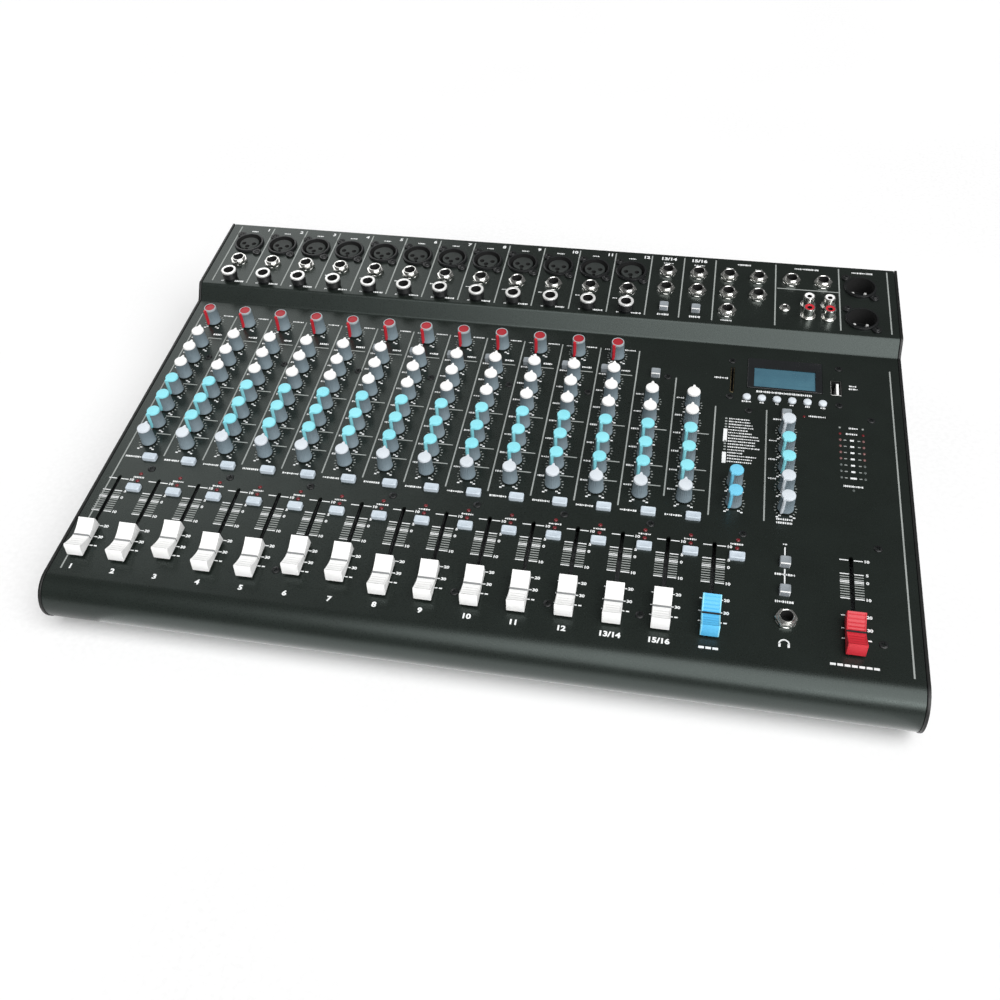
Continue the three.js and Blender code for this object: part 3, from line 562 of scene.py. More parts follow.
def beside(path, distance):
    """A path moved sideways to its right by a distance, keeping its corners mitred."""
    headings = []
    for (y0, z0), (y1, z1) in zip(path, path[1:]):
        along = Vector((y1 - y0, z1 - z0)).normalized()
        headings.append(Vector((along.y, -along.x)))
    moved = []
    for i, (y, z) in enumerate(path):
        before, after = headings[max(i - 1, 0)], headings[min(i, len(headings) - 1)]
        step = (before + after) * distance / (1 + before.dot(after))
        moved.append((y + step.x, z + step.y))
    return moved


def carried(outline, x0, x1, finish, edge=0, steps=EDGE_STEPS):
    """A closed [y, z] outline carried across from x0 to x1. Its long edges are rounded by edge."""
    closed = [*outline, outline[0], outline[1]]
    area = sum(y0 * z1 - y1 * z0 for (y0, z0), (y1, z1) in zip(closed, closed[1:-1]))
    inward = math.copysign(1, -area)

    def inset(distance):
        return beside([outline[-1], *outline, outline[0]], inward * distance)[1:-1] if distance else outline

    sections = []
    for step in range(steps + 1 if edge else 1):
        turn = math.pi / 2 * step / steps
        sections.append((edge * (1 - math.sin(turn)), edge * (1 - math.cos(turn))))
    rings = [[(x0 + along, y, z) for y, z in inset(depth)] for depth, along in sections]
    rings += [[(x1 - along, y, z) for y, z in inset(depth)] for depth, along in reversed(sections)]
    return Build().loft(rings, finish)


SCREW_SIDES = 32


def cross_ring(reach, width, z):
    """A ring with the outline of a screwdriver's cross."""
    points = []
    for i in range(SCREW_SIDES):
        turn = 2 * math.pi * (i + 0.5) / SCREW_SIDES
        c, s = abs(math.cos(turn)), abs(math.sin(turn))
        radius = max(min(width / max(c, 1e-6), reach / max(s, 1e-6)),
                     min(reach / max(c, 1e-6), width / max(s, 1e-6)))
        points.append((radius * math.cos(turn), radius * math.sin(turn), z))
    return points


def screw(radius=2.7, height=0.7, sink=0.6):
    """A pan-head screw with a cross recess, standing on z = 0."""
    dome = [(radius, -sink), (radius, 0.1), (radius * 0.93, height * 0.6), (radius * 0.72, height)]
    cross = [cross_ring(radius * 0.55, radius * 0.14, height),
             cross_ring(radius * 0.45, radius * 0.1, height - 0.8 * radius * 0.4)]
    return Build().loft(rings_of(dome, SCREW_SIDES) + cross, "black")


# ---------------------------------------------------------------- casing

BEND_STEPS = 6


def bend(path, corner, radius):
    """A path with one of its corners rounded."""
    before, here, after = (Vector(path[corner + i]) for i in (-1, 0, 1))
    into, out = (before - here).normalized(), (after - here).normalized()
    half = into.angle(out) / 2
    middle = here + (into + out).normalized() * radius / math.sin(half)
    start = here + into * radius / math.tan(half) - middle
    sweep = math.copysign(math.pi - 2 * half, into.cross(out) * -1)
    arc = []
    for step in range(BEND_STEPS + 1):
        turn = Matrix.Rotation(sweep * step / BEND_STEPS, 2)
        arc.append(tuple(middle + turn @ start))
    return [*path[:corner], *arc, *path[corner + 1:]]


def deck_path(proud=0):
    """[y, z] of the deck's outer face from the underside of the nose to the rear edge."""
    path = []
    for step in range(NOSE_STEPS + 1):
        turn = -(math.pi / 2 + TILT) - (math.pi - TILT) * step / NOSE_STEPS
        reach = NOSE_RADIUS + proud
        path.append((-NOSE_REACH + reach * math.cos(turn), -NOSE_RADIUS + reach * math.sin(turn)))
    ramp = math.atan2(RISE, RISER_HEAD - RISER_FOOT)
    back = proud * math.tan(ramp / 2)
    path += [(RISER_FOOT - back, proud), (RISER_HEAD - back, RISE + proud), (REAR_EDGE, RISE + proud)]
    return bend(bend(path, len(path) - 2, BEND_RADIUS), len(path) - 3, BEND_RADIUS)


# Each kind of button's width, depth, height over the panel, edge and finish.
BUTTONS = {
    "wide": (9.7, 5.6, 2.6, 0.7, "button_blue"),
    "square": (6.6, 6.6, 3.6, 0.6, "button_grey"),
    "small": (5.4, 5.4, 3.6, 0.6, "button_grey"),
}

STRIP_KNOBS = {
    "gain": (range(MONO_STRIPS), {"gain": GAIN_ROW}),
    "tone": (range(INPUT_STRIPS), {"high": knob_row(6), "middle": knob_row(5), "low": knob_row(4)}),
    "send": (range(INPUT_STRIPS),
             {"aux_1": knob_row(3), "aux_2": knob_row(2), "effects_send": knob_row(1)}),
    "pan": (range(INPUT_STRIPS), {"pan": PAN_ROW}),
}


def knob_places():
    """Every channel knob as (kind, strip, name, column, row). The stereo strips have one tone knob less."""
    places = []
    for kind, (strips, rows) in STRIP_KNOBS.items():
        for strip in strips:
            for name, row in rows.items():
                if strip < MONO_STRIPS or name != "high":
                    places.append((kind, strip, name, strip + KNOB_COLUMN, row))
    return places


MASTER_KNOBS = {
    "effects_program": ("effects", EFFECTS_KNOB_COLUMN, knob_row(1)),
    "effects_parameter": ("effects", EFFECTS_KNOB_COLUMN, knob_row(0)),
    "playback_level": ("master", MASTER_COLUMN, knob_row(4)),
    "aux_1_master": ("send", MASTER_COLUMN, knob_row(3)),
    "aux_2_master": ("send", MASTER_COLUMN, knob_row(2)),
    "effects_master": ("master", MASTER_COLUMN, knob_row(1)),
    "control_room_level": ("master", MASTER_COLUMN, knob_row(0)),
}


def all_knobs():
    """The column and row of every knob, those of the strips first."""
    places = [(column, row) for _, _, _, column, row in knob_places()]
    return places + [(column, row) for _, column, row in MASTER_KNOBS.values()]


FIXED_CONTROL_BUTTONS = [("small", strip + LOW_CUT_COLUMN, LOW_CUT_ROW) for strip in range(1, MONO_STRIPS)]
FIXED_CONTROL_BUTTONS += [("square", STEREO_COLUMNS[0], LOW_CUT_ROW)]
FIXED_CONTROL_BUTTONS += [("wide", strip + BUTTON_COLUMN, LISTEN_ROW) for strip in range(1, INPUT_STRIPS)]
FIXED_MUTE_BUTTONS = [("wide", strip + BUTTON_COLUMN, MUTE_ROW) for strip in range(1, STRIP_FADERS)]
MOVING_BUTTONS = {
    "button_1_low_cut": ("small", LOW_CUT_COLUMN, LOW_CUT_ROW),
    "button_1_listen": ("wide", BUTTON_COLUMN, LISTEN_ROW),
    "button_1_mute": ("wide", BUTTON_COLUMN, MUTE_ROW),
    "button_phantom_power": ("square", MASTER_COLUMN, PHANTOM_ROW),
    "button_playback_routing": ("square", MASTER_COLUMN, ROUTING_ROWS[0]),
    "button_main_routing": ("square", MASTER_COLUMN, ROUTING_ROWS[1]),
}

FADER_NAMES = [str(i + 1) for i in range(MONO_STRIPS)] + ["13_14", "15_16", "effects", "main"]
FADER_COLUMNS = [i + FADER_COLUMN for i in range(STRIP_FADERS)] + [MAIN_FADER_COLUMN]

line_places = [(strip + LINE[0], LINE[1]) for strip in range(MONO_STRIPS)]
insert_places = [(strip + INSERT[0], INSERT[1]) for strip in range(MONO_STRIPS)]
mic_places = [(strip + MIC[0], MIC[1]) for strip in range(MONO_STRIPS)]
output_places = [(column, row) for column in STEREO_COLUMNS for row in OUTPUT_ROWS[:2]]
output_places += [(AUX_COLUMNS[0], row) for row in OUTPUT_ROWS]
output_places += [(AUX_COLUMNS[1], row) for row in OUTPUT_ROWS[:2]]
output_places += [(column, OUTPUT_ROWS[0]) for column in CONTROL_ROOM_COLUMNS]
phono_places = [(column, row) for column in PHONO_COLUMNS for row in PHONO_ROWS]
main_out_places = [(MAIN_OUT_COLUMN, row) for row in MAIN_OUT_ROWS]

KNOB_HOLE = 4
SLOT_WIDTH = 2.4
BUTTON_CLEARANCE = 0.8
PLAYER_BUTTON_HOLE = 3.5
PLAYER_CLEARANCE = 0.5
JACK_HOLE = 5.2
XLR_HOLE = 11
MINI_JACK_HOLE = 3.5
PHONO_HOLE = 4.7
SWITCH_HOLE = 7.4


def panel_cutter():
    """Every hole in the bent sheet."""
    holes = Build()

    def bore(column, row, radius, level=0, sides=24):
        x, y = deck_at(column, row)
        holes.loft([circle(radius, level + z, sides, (x, y)) for z in (-SHEET - 1, 1)], "panel")

    def window(column, row, width, depth, level=0, corner=0.6):
        x, y = deck_at(column, row)
        holes.loft([rounded(width, depth, corner, level + z, (x, y), 2) for z in (-SHEET - 1, 1)], "panel")

    for place in all_knobs():
        bore(*place, KNOB_HOLE, sides=16)
    slot_row, slot_length = (SLOT_TOP + SLOT_BOTTOM) / 2, (SLOT_TOP - SLOT_BOTTOM) * PITCH
    for column in FADER_COLUMNS:
        window(column, slot_row, SLOT_WIDTH, slot_length, corner=1.1)
    for kind, column, row in [*FIXED_CONTROL_BUTTONS, *FIXED_MUTE_BUTTONS, *MOVING_BUTTONS.values()]:
        width, depth = BUTTONS[kind][:2]
        window(column, row, width + BUTTON_CLEARANCE, depth + BUTTON_CLEARANCE, corner=1.3)
    for column in PLAYER_BUTTON_COLUMNS:
        bore(column, PLAYER_BUTTON_ROW, PLAYER_BUTTON_HOLE)
    bore(*HEADPHONE, JACK_HOLE)
    for left, right, foot, head in (DISPLAY, CARD_SLOT, STICK_SLOT):
        width, depth = (right - left) * PITCH, (head - foot) * PITCH
        window((left + right) / 2, (foot + head) / 2, width + PLAYER_CLEARANCE, depth + PLAYER_CLEARANCE,
               corner=0.4)
    for place in [*mic_places, *main_out_places]:
        bore(*place, XLR_HOLE, RISE, 32)
    for place in [*line_places, *insert_places, *output_places]:
        bore(*place, JACK_HOLE, RISE)
    bore(*MINI_JACK, MINI_JACK_HOLE, RISE)
    for place in phono_places:
        bore(*place, PHONO_HOLE, RISE)
    for column in STEREO_COLUMNS:
        window(column, STEREO_SWITCH_ROW, SWITCH_HOLE, SWITCH_HOLE, RISE, 1.2)
    return holes


plate_low = node_box("left_end_plate")[0]
LEFT_EDGE = plate_low.x - ORIGIN.x
RIGHT_EDGE = node_box("right_end_plate")[1].x - ORIGIN.x


def top_panel():
    """The one bent sheet that makes the nose, the control surface and the connector deck."""
    path = deck_path()
    nose_y, nose_z = path[0]
    lip_end = (nose_y + LIP_LENGTH * math.cos(TILT), nose_z - LIP_LENGTH * math.sin(TILT))
    flange_end = (REAR_EDGE - REAR_FLANGE * math.sin(TILT), RISE - REAR_FLANGE * math.cos(TILT))
    path = [lip_end, *path, flange_end]
    outline = [*path, *reversed(beside(path, SHEET))]
    inset = END_PLATE + GAP
    sheet = carried(outline, LEFT_EDGE + inset, RIGHT_EDGE - inset, "panel")
    publish(carved(sheet, panel_cutter()), "top_panel_sheet", stands_for=("top_panel",),
            crease=20)


END_SCREWS = ((-105.5, -17.5), (20, -14), (120, -14), (215, -12), (215, -45), (80, -34))
SINK_MOUTH = 3.6
SINK_FLOOR = 2.3


def end_plate(side, outer):
    """An end plate that stands a little proud of the deck all round, with sunk screws."""
    edge = deck_path(END_PLATE_PROUD)
    rear_edge = DECK @ (Vector((0, *edge[-1])) * MM) / MM
    rear_foot = to_deck(0, rear_edge.y, plate_low.z + END_PLATE_PROUD)
    outline = [*edge, (rear_foot.y, rear_foot.z)]
    inner = outer - side * END_PLATE
    slab = carried(outline, min(inner, outer), max(inner, outer), "plate", edge=0.35, steps=2)
    sinks, heads = Build(), Build()
    for y, z in END_SCREWS:
        sinks.loft([[(outer + side * out, y + radius * math.cos(turn), z + radius * math.sin(turn))
                     for turn in (2 * math.pi * i / 24 for i in range(24))]
                    for out, radius in ((0.5, SINK_MOUTH), (-1.3, SINK_FLOOR))], "plate")
        spin = Matrix.Rotation(side * math.pi / 2, 4, "Y")
        heads.place(screw(2.3, 0.6, 0.6), Matrix.Translation((outer - side * 0.95, y, z)) @ spin)
    whole = carved(slab, sinks).stamp(heads)
    name = "left" if side < 0 else "right"
    publish(whole, f"end_plate_{name}", stands_for=(f"{name}_end_plate",), crease=25)


def foot(node):
    """A moulded rubber foot with its screw sunk in the middle."""
    low, high = node_box(node)
    radius, height = (high.x - low.x) / 2, high.z
    shape = turned([(3.4, 1.9), (3.4, 0.5), (3.9, 0), (radius - 1.6, 0), (radius - 0.9, 0.4),
                    (radius, height - 0.8), (radius, height)], "rubber", 40)
    shape.place(screw(2.9, 0.7, 0.3), Matrix.Translation((0, 0, 1.8)) @ Matrix.Rotation(math.pi, 4, "X"))
    centre = (low + high) / 2
    publish(shape, node.replace("foot", "rubber_foot"), stands_for=(node,),
            place=shifted(centre.x, centre.y))


# ---------------------------------------------------------------- knobs, faders and buttons

KNOB_CAPS = {"gain": "red", "tone": "white", "send": "cyan", "pan": "silver", "effects": "pale_blue",
             "master": "silver"}
KNOB_TOP = 14.2
KNOB_SIDES = 48
KNOB_FLUTE = 0.34
HALF_TURN = 150
# Radius and height of each ring of the skirt and of the fluted grip.
KNOB_SKIRT = [(3, 0.9), (5, 0.9), (5.25, 1.15), (5.2, 1.7), (5, 2.3), (4.9, 2.8)]
KNOB_GRIP = [(4.9, 3.1), (4.62, 12.3)]
# Height of each section of the pointer, and how far out it starts and ends.
POINTER = [(1.2, 4.2, 6.35), (2.4, 4, 6.25), (12.6, 3.6, 6.1), (13.8, 3.6, 6.1),
           (KNOB_TOP - 0.02, 3.6, 5.9)]
POINTER_ROOT = 1.35
POINTER_TIP = 0.45


def knob(kind, shaft_foot=-5):
    """A knob on its shaft with its pointer towards +Y."""
    cap = KNOB_CAPS[kind]
    lower = [(KNOB_SKIRT[0][0], shaft_foot), *KNOB_SKIRT]
    rings = rings_of(lower, KNOB_SIDES) + rings_of(KNOB_GRIP, KNOB_SIDES, KNOB_FLUTE)
    finishes = ["slate"] * (len(rings) - 1)
    if kind == "gain":
        # On the gain knob the pale grey rim round the top edge is a painted highlight, and the darker red
        # of the dished top is painted shade.
        upper = [("slate", 4.62, 12.7), ("painted_rim_highlight", 4.55, 13.7), ("painted_rim_highlight", 4.35, KNOB_TOP),
                 ("painted_rim_highlight", 3.75, KNOB_TOP), ("red_painted_shade", 3.65, KNOB_TOP - 0.5),
                 ("red_painted_shade", 1.2, KNOB_TOP - 0.42)]
    else:
        upper = [("slate", 4.6, 12.7), (cap, 4.56, 12.95), (cap, 4.5, 13.6), (cap, 4.2, KNOB_TOP - 0.12),
                 (cap, 3.6, KNOB_TOP), (cap, 1.2, KNOB_TOP + 0.08)]
    for name, radius, z in upper:
        rings.append(circle(radius, z, KNOB_SIDES))
        finishes.append(name)
    pointer = [[(-POINTER_ROOT, inner, z), (POINTER_ROOT, inner, z), (POINTER_TIP, outer, z),
                (-POINTER_TIP, outer, z)] for z, inner, outer in POINTER]
    return Build().loft(rings, finishes).loft(pointer, cap)


def rest_turn(kind):
    """Where a knob rests: tone and pan knobs in the middle, the others at their lowest."""
    return 0 if kind in ("tone", "pan") else HALF_TURN


CAP_BASE, CAP_RIDGE, CAP_HALF = 13, 11.2, 5.55
CAP_FOOT, CAP_SHOULDER, CAP_TOP, CAP_WAIST = 1.8, 9.2, 10.3, 6.2
CAP_INSET, CAP_RAIL = 0.8, 1
CAP_STEPS = 20
FADER_LOOKS = {
    "effects": ("blue", "sky", "line_black", "cap_blue"),
    "main": ("red", "red", "line_black", "cap_red"),
}


def saddle(lift=0, ribs=0):
    """A fader cap's outline from the side. lift raises its upper face; ribs are cut this deep in it."""
    crest = []
    for i in range(2 * CAP_STEPS + 1):
        y = CAP_RIDGE * (i / CAP_STEPS - 1)
        share = abs(y) / CAP_RIDGE
        groove = ribs * (i // 2 % 2) if 0.12 < share < 0.95 else 0
        crest.append((y, CAP_WAIST + (CAP_TOP - CAP_WAIST) * share ** 1.5 + lift - groove))
    side = [(CAP_BASE, CAP_FOOT), (CAP_BASE - 0.1, CAP_FOOT + 0.8), (CAP_RIDGE + 0.75, CAP_SHOULDER)]
    return [(-y, z) for y, z in side] + crest + side[::-1]


def fader_cap(face, rail, line):
    """A fader's ribbed saddle cap between two smooth rails, and the flat stem through the slot."""
    cap = carried(saddle(ribs=0.3), CAP_INSET - CAP_HALF, CAP_HALF - CAP_INSET, face)
    for side in (-1, 1):
        edges = sorted((side * CAP_HALF, side * (CAP_HALF - CAP_RAIL)))
        cap.stamp(carried(saddle(lift=0.1), *edges, rail, edge=0.4))
    crest = CAP_WAIST + 0.42
    marker = [(-0.75, CAP_FOOT + 1.5), (-0.6, crest), (0.6, crest), (0.75, CAP_FOOT + 1.5)]
    cap.stamp(carried(marker, -CAP_HALF - 0.04, CAP_HALF + 0.04, line, edge=0.45, steps=2))
    return cap.stamp(block(1.2, 4, -13.5, CAP_FOOT + 1, "steel", corner=0.3, edge=0.1))


def button(kind, foot_z=-4, stem_foot=None):
    """A button cap, with the stem that works its switch if it moves."""
    width, depth, top, edge, finish = BUTTONS[kind]
    shape = block(width, depth, foot_z, top, finish, corner=1, edge=edge, dish=0.3)
    if kind == "square":
        # The white strip along the front top edge is a painted highlight where the rounded edge catches the
        # light.
        shape.stamp(block(width - 0.6, 0.9, 0, top + 0.05, "white", corner=0.3, edge=0.2,
                          centre=(0, 0.55 - depth / 2)))
    if stem_foot is not None:
        shape.stamp(block(3.4, 3.4, stem_foot, foot_z + 1, "black", corner=0.3, edge=0.1))
    return shape


def fixed_knobs():
    """The channel knobs that don't turn in this model, one piece for each kind."""
    for kind in STRIP_KNOBS:
        template = knob(kind, CONTROL_BOARD_Z)
        group = Build()
        for each, strip, _, column, row in knob_places():
            if each == kind and strip > 0:
                group.stamp(template, *deck_at(column, row), turn=rest_turn(kind))
        publish(group, f"knobs_{kind}", stands_for=("control_board",))


def moving_knobs():
    """The first strip's knobs and the master knobs, each on its own joint."""
    first_strip = {f"1_{name}": (kind, column, row)
                   for kind, strip, name, column, row in knob_places() if strip == 0}
    for name, (kind, column, row) in {**first_strip, **MASTER_KNOBS}.items():
        node = f"knob_{name}"
        publish(knob(kind), f"{node}_piece", node, (node,),
                DECK @ shifted(*deck_at(column, row), rest_turn(kind)))


def faders():
    """The sixteen fader caps, each where the photograph shows it at rest."""
    for name, column, row in zip(FADER_NAMES, FADER_COLUMNS, FADER_RESTS):
        face, rail, line, slot = FADER_LOOKS.get(name, ("white", "white", "line_grey", "cap_white"))
        node = f"fader_{name}"
        publish(fader_cap(face, rail, line), f"{node}_piece", node, (node,),
                DECK @ shifted(*deck_at(column, row)))


def buttons():
    """The buttons that press on joints of their own, and the fixed ones in two groups."""
    for node, (kind, column, row) in MOVING_BUTTONS.items():
        publish(button(kind, stem_foot=-9), f"{node}_piece", node, (node,),
                DECK @ shifted(*deck_at(column, row)))
    for name, node, board, places in (
            ("buttons_control", "control_board", CONTROL_BOARD_Z, FIXED_CONTROL_BUTTONS),
            ("buttons_mute", "fader_board", FADER_BOARD_Z, FIXED_MUTE_BUTTONS)):
        group = Build()
        for kind, column, row in places:
            group.stamp(button(kind, board), *deck_at(column, row))
        publish(group, name, stands_for=(node,))


# ---------------------------------------------------------------- boards under the panel

POT_WIDTH = 11
POT_TOP = -5.6
# Half of a fader track's section, as the distance from its middle and the height.
TRACK_SECTION = [(4, -17.2), (4, -4), (1.5, -4), (1.5, -5.2), (2.8, -5.2), (2.8, -16)]
TRACK_OVERRUN = 8


def boards():
    """The control board with its pots, and the fader board with its tracks."""
    control = circuit(CHANNEL_AREA, CONTROL_BOARD_Z)
    control.stamp(circuit(MASTER_AREA, CONTROL_BOARD_Z))
    pot = block(POT_WIDTH, POT_WIDTH, CONTROL_BOARD_Z - 0.2, POT_TOP, "steel", corner=1)
    for place in all_knobs():
        control.stamp(pot, *deck_at(*place))
    publish(control, "control_board_plate", stands_for=("control_board",))

    board = circuit(FADER_AREA, FADER_BOARD_Z)
    section = [(-dx, z) for dx, z in TRACK_SECTION] + TRACK_SECTION[::-1]
    for column in FADER_COLUMNS:
        x, top = deck_at(column, SLOT_TOP)
        ends = (SLOT_BOTTOM * PITCH - TRACK_OVERRUN, top + TRACK_OVERRUN)
        board.loft([[(x + dx, y, z) for dx, z in section] for y in ends], "steel")
    publish(board, "fader_board_plate", stands_for=("fader_board",))


# ---------------------------------------------------------------- connectors

JACK_SIDES = 36


def hexagon(corners, z, round_to=0):
    """A ring with a hexagon's outline, blended towards a circle by round_to."""
    points = []
    for i in range(JACK_SIDES):
        turn = 2 * math.pi * i / JACK_SIDES
        flat = corners * math.cos(math.pi / 6) / math.cos((turn % (math.pi / 3)) - math.pi / 6)
        reach = flat + (corners * math.cos(math.pi / 6) - flat) * round_to
        points.append((reach * math.cos(turn), reach * math.sin(turn), z))
    return points


def hex_nut(corners, bore, low, high):
    """A nut with chamfered corners round a bore."""
    rings = [circle(bore, low, JACK_SIDES), hexagon(corners, low), hexagon(corners, high - 0.5),
             hexagon(corners * 0.985, high - 0.12, 0.35), hexagon(corners * 0.9, high, 0.6),
             circle(bore, high, JACK_SIDES)]
    return Build().loft(rings, "chrome", hoop=True)


def washer(outer, bore, low, high, finish):
    """A flat ring with a softened edge."""
    profile = [(bore, low), (outer - 0.15, low), (outer, low + 0.1), (outer, high - 0.15),
               (outer - 0.2, high), (bore, high)]
    return Build().loft(rings_of(profile, JACK_SIDES), finish, hoop=True)


def threaded(profile, radius, low, high, turns, depth=0.22):
    """Adds a thread's ridges to a profile between two heights."""
    for i in range(turns):
        z = low + (high - low) * i / turns
        step = (high - low) / turns
        profile += [(radius, z + 0.25 * step), (radius - depth, z + 0.75 * step)]
    return profile


def jack(board):
    """A quarter-inch jack with its nut at z = 0 and up."""
    shape = washer(6.3, 4.7, 0.02, 0.6, "chrome")
    shape.stamp(hex_nut(6.9, 4.7, 0.5, 2.7))
    outside = threaded([(4.6, board), (4.6, -1.7), (4.9, -1.6), (4.9, 2.6)], 4.95, 2.7, 4.3, 3)
    collar = [*outside, (4.75, 4.6), (4.2, 4.6), (3.8, 4.3)]
    # The bore is near-black painted shade.
    inside = [(3.6, 3.8), (3.5, -8.4)]
    rings = rings_of(collar + inside, JACK_SIDES)
    return shape.loft(rings, ["chrome"] * (len(collar) - 1) + ["black", "pit"])


def insert_jack():
    """A tall plastic-barrelled jack with a bright ring on top."""
    shape = washer(5.2, 4.5, 0.02, 1.9, "black")
    barrel = [(4.6, JACK_BOARD_Z - RISE), (4.6, -1.7), (5, -1.6), (5, 1.8)]
    outside = threaded(barrel, 5.75, 2.2, 6.8, 4, 0.3)
    ring = [(5.6, 6.9), (5.75, 7.1), (5.75, 8.2), (5.5, 8.5), (4.2, 8.5), (3.85, 8.2)]
    # The bore is near-black painted shade.
    inside = [(3.7, 7.6), (3.7, -4.5)]
    rings = rings_of(outside + ring + inside, JACK_SIDES)
    names = ["black"] * len(outside) + ["bright"] * (len(ring) - 1) + ["black", "pit"]
    return shape.loft(rings, names)


XLR_EAR = (10, 10.8)
XLR_PIN_TURNS = (190, 265, 350)
SOCKET_PIN_REACH = 4.3
PIN_HOLE = ((1.7, -6), (1.7, 0.6), (2.1, 1.5))
PLUG_PIN_REACH = 4.6


def xlr_shell():
    """A three-pole connector's flange with its ears and screws, and the shell under it."""
    profile = [(10.4, XLR_BOARD_Z - RISE), (10.4, -1.7), (12, -0.01), (12, 1.1), (11.75, 1.6), (11.2, 1.8),
               (11.5, 2.1), (11, 2.2), (10.4, 2.1), (10.2, 1.6), (10.2, -11.2)]
    # The inside wall of the shell is near-black painted shade.
    shape = Build().loft(rings_of(profile, 48), ["black"] * (len(profile) - 2) + ["pit"])
    for side in (-1, 1):
        x, y = side * XLR_EAR[0], -side * XLR_EAR[1]
        shape.stamp(turned([(3.4, 0.02), (3.4, 1.2), (3.1, 1.6), (2.6, 1.7)], "black", 24), x, y)
        shape.stamp(screw(2.1, 0.6, 0.3), x, y, 1.6, turn=random.uniform(0, 90))
    return shape


def mic_socket():
    """A three-pole socket: a round core with three holes and a key slot, in the shell."""
    core = turned([(8, -11.3), (8, 0.3), (7.7, 0.8), (7.3, 0.95)], "core", 40)
    holes = Build()
    # The pin holes and the key slot are lined with near-black painted shade.
    for degrees in XLR_PIN_TURNS:
        centre = polar(SOCKET_PIN_REACH, degrees)
        holes.loft([circle(radius, z, 16, centre) for radius, z in PIN_HOLE], "pit")
    holes.loft([rounded(2.2, 1.6, 0.4, z, (0, -7.4)) for z in (-8, 1.5)], "pit")
    return xlr_shell().stamp(carved(core, holes))


def main_out_plug():
    """A three-pole plug: the same shell with pins standing in it, painted near-white as a glint on metal
    that sits in shade.
    """
    shape = xlr_shell().stamp(turned([(9, -11.5), (9, -11.0), (8.6, -10.9)], "black", 40))
    # The pins are metal in shade; their near-white finish is a painted glint.
    pin = turned([(1.25, -11.4), (1.25, -4.2), (0.95, -3.6), (0.4, -3.4)], "bright", 16)
    for degrees in XLR_PIN_TURNS:
        shape.stamp(pin, *polar(PLUG_PIN_REACH, degrees))
    return shape


def phono_socket(ring):
    """A phono socket with a coloured ring set in its mouth."""
    shape = washer(5.4, 4, 0.02, 1.1, "chrome")
    profile = [(3.7, JACK_BOARD_Z - RISE), (3.7, -1.6), (4.1, -1.5), (4.1, 8.2), (3.9, 8.5), (3.4, 8.5)]
    mouth = [(3.3, 8.3), (2.1, 8.3), (1.75, 8)]
    # The bore below the mouth is near-black painted shade.
    names = ["chrome"] * (len(profile) - 1) + [ring] * len(mouth) + ["pit"]
    return shape.loft(rings_of([*profile, *mouth, (1.7, 1)]), names)


def mini_jack():
    """The small jack, standing in its ring."""
    shape = turned([(3.9, 0.02), (4, 0.3), (4, 0.8), (3.7, 1.1)], "chrome", 32)
    # Its bore is near-black painted shade.
    profile = [(2.6, JACK_BOARD_Z - RISE), (3, 0.9), (3, 2), (2.8, 2.4), (2.1, 2.4), (1.8, 2.1),
               (1.8, -7.6)]
    return shape.loft(rings_of(profile), ["chrome"] * (len(profile) - 2) + ["pit"])


def bank(name, node, boards_under, board_z, parts):
    """One row of connectors on its board. parts is (template, places) pairs."""
    shape = Build()
    for area in boards_under:
        shape.stamp(circuit(area, board_z))
    for template, places in parts:
        for place in places:
            shape.stamp(template, *deck_at(*place), RISE)
    publish(shape, name, stands_for=(node,))


def connectors():
    """The rows of sockets on the deck at the rear, and the headphone jack at the front."""
    bank("mic_sockets", "mic_socket_bank", [MIC_AREA], XLR_BOARD_Z,
         [(mic_socket(), mic_places)])
    deck_jack = jack(JACK_BOARD_Z - RISE)
    bank("line_jacks", "line_jack_bank", [LINE_AREA], JACK_BOARD_Z, [(deck_jack, line_places)])
    bank("insert_jacks", "insert_jack_bank", [INSERT_AREA], JACK_BOARD_Z,
         [(insert_jack(), insert_places)])
    switch = button("square", JACK_BOARD_Z - RISE)
    switch_places = [(column, STEREO_SWITCH_ROW) for column in STEREO_COLUMNS]
    bank("output_jacks", "output_jack_bank", OUTPUT_AREAS, JACK_BOARD_Z,
         [(deck_jack, output_places), (mini_jack(), [MINI_JACK]), (switch, switch_places)])
    upper, lower = phono_places[::2], phono_places[1::2]
    bank("phono_sockets", "phono_socket_bank", [PHONO_AREA], JACK_BOARD_Z,
         [(phono_socket("white"), upper), (phono_socket("red"), lower)])
    bank("main_outputs", "main_output_bank", [MAIN_OUT_AREA], XLR_BOARD_Z,
         [(main_out_plug(), main_out_places)])
    x, y = deck_at(*HEADPHONE)
    socket = Build().stamp(jack(-10), x, y)
    socket.stamp(block(15, 15, -11.6, -2.5, "black", corner=1, edge=0.5), x, y)
    publish(socket, "headphone_socket", stands_for=("headphone_jack",))


# ---------------------------------------------------------------- player


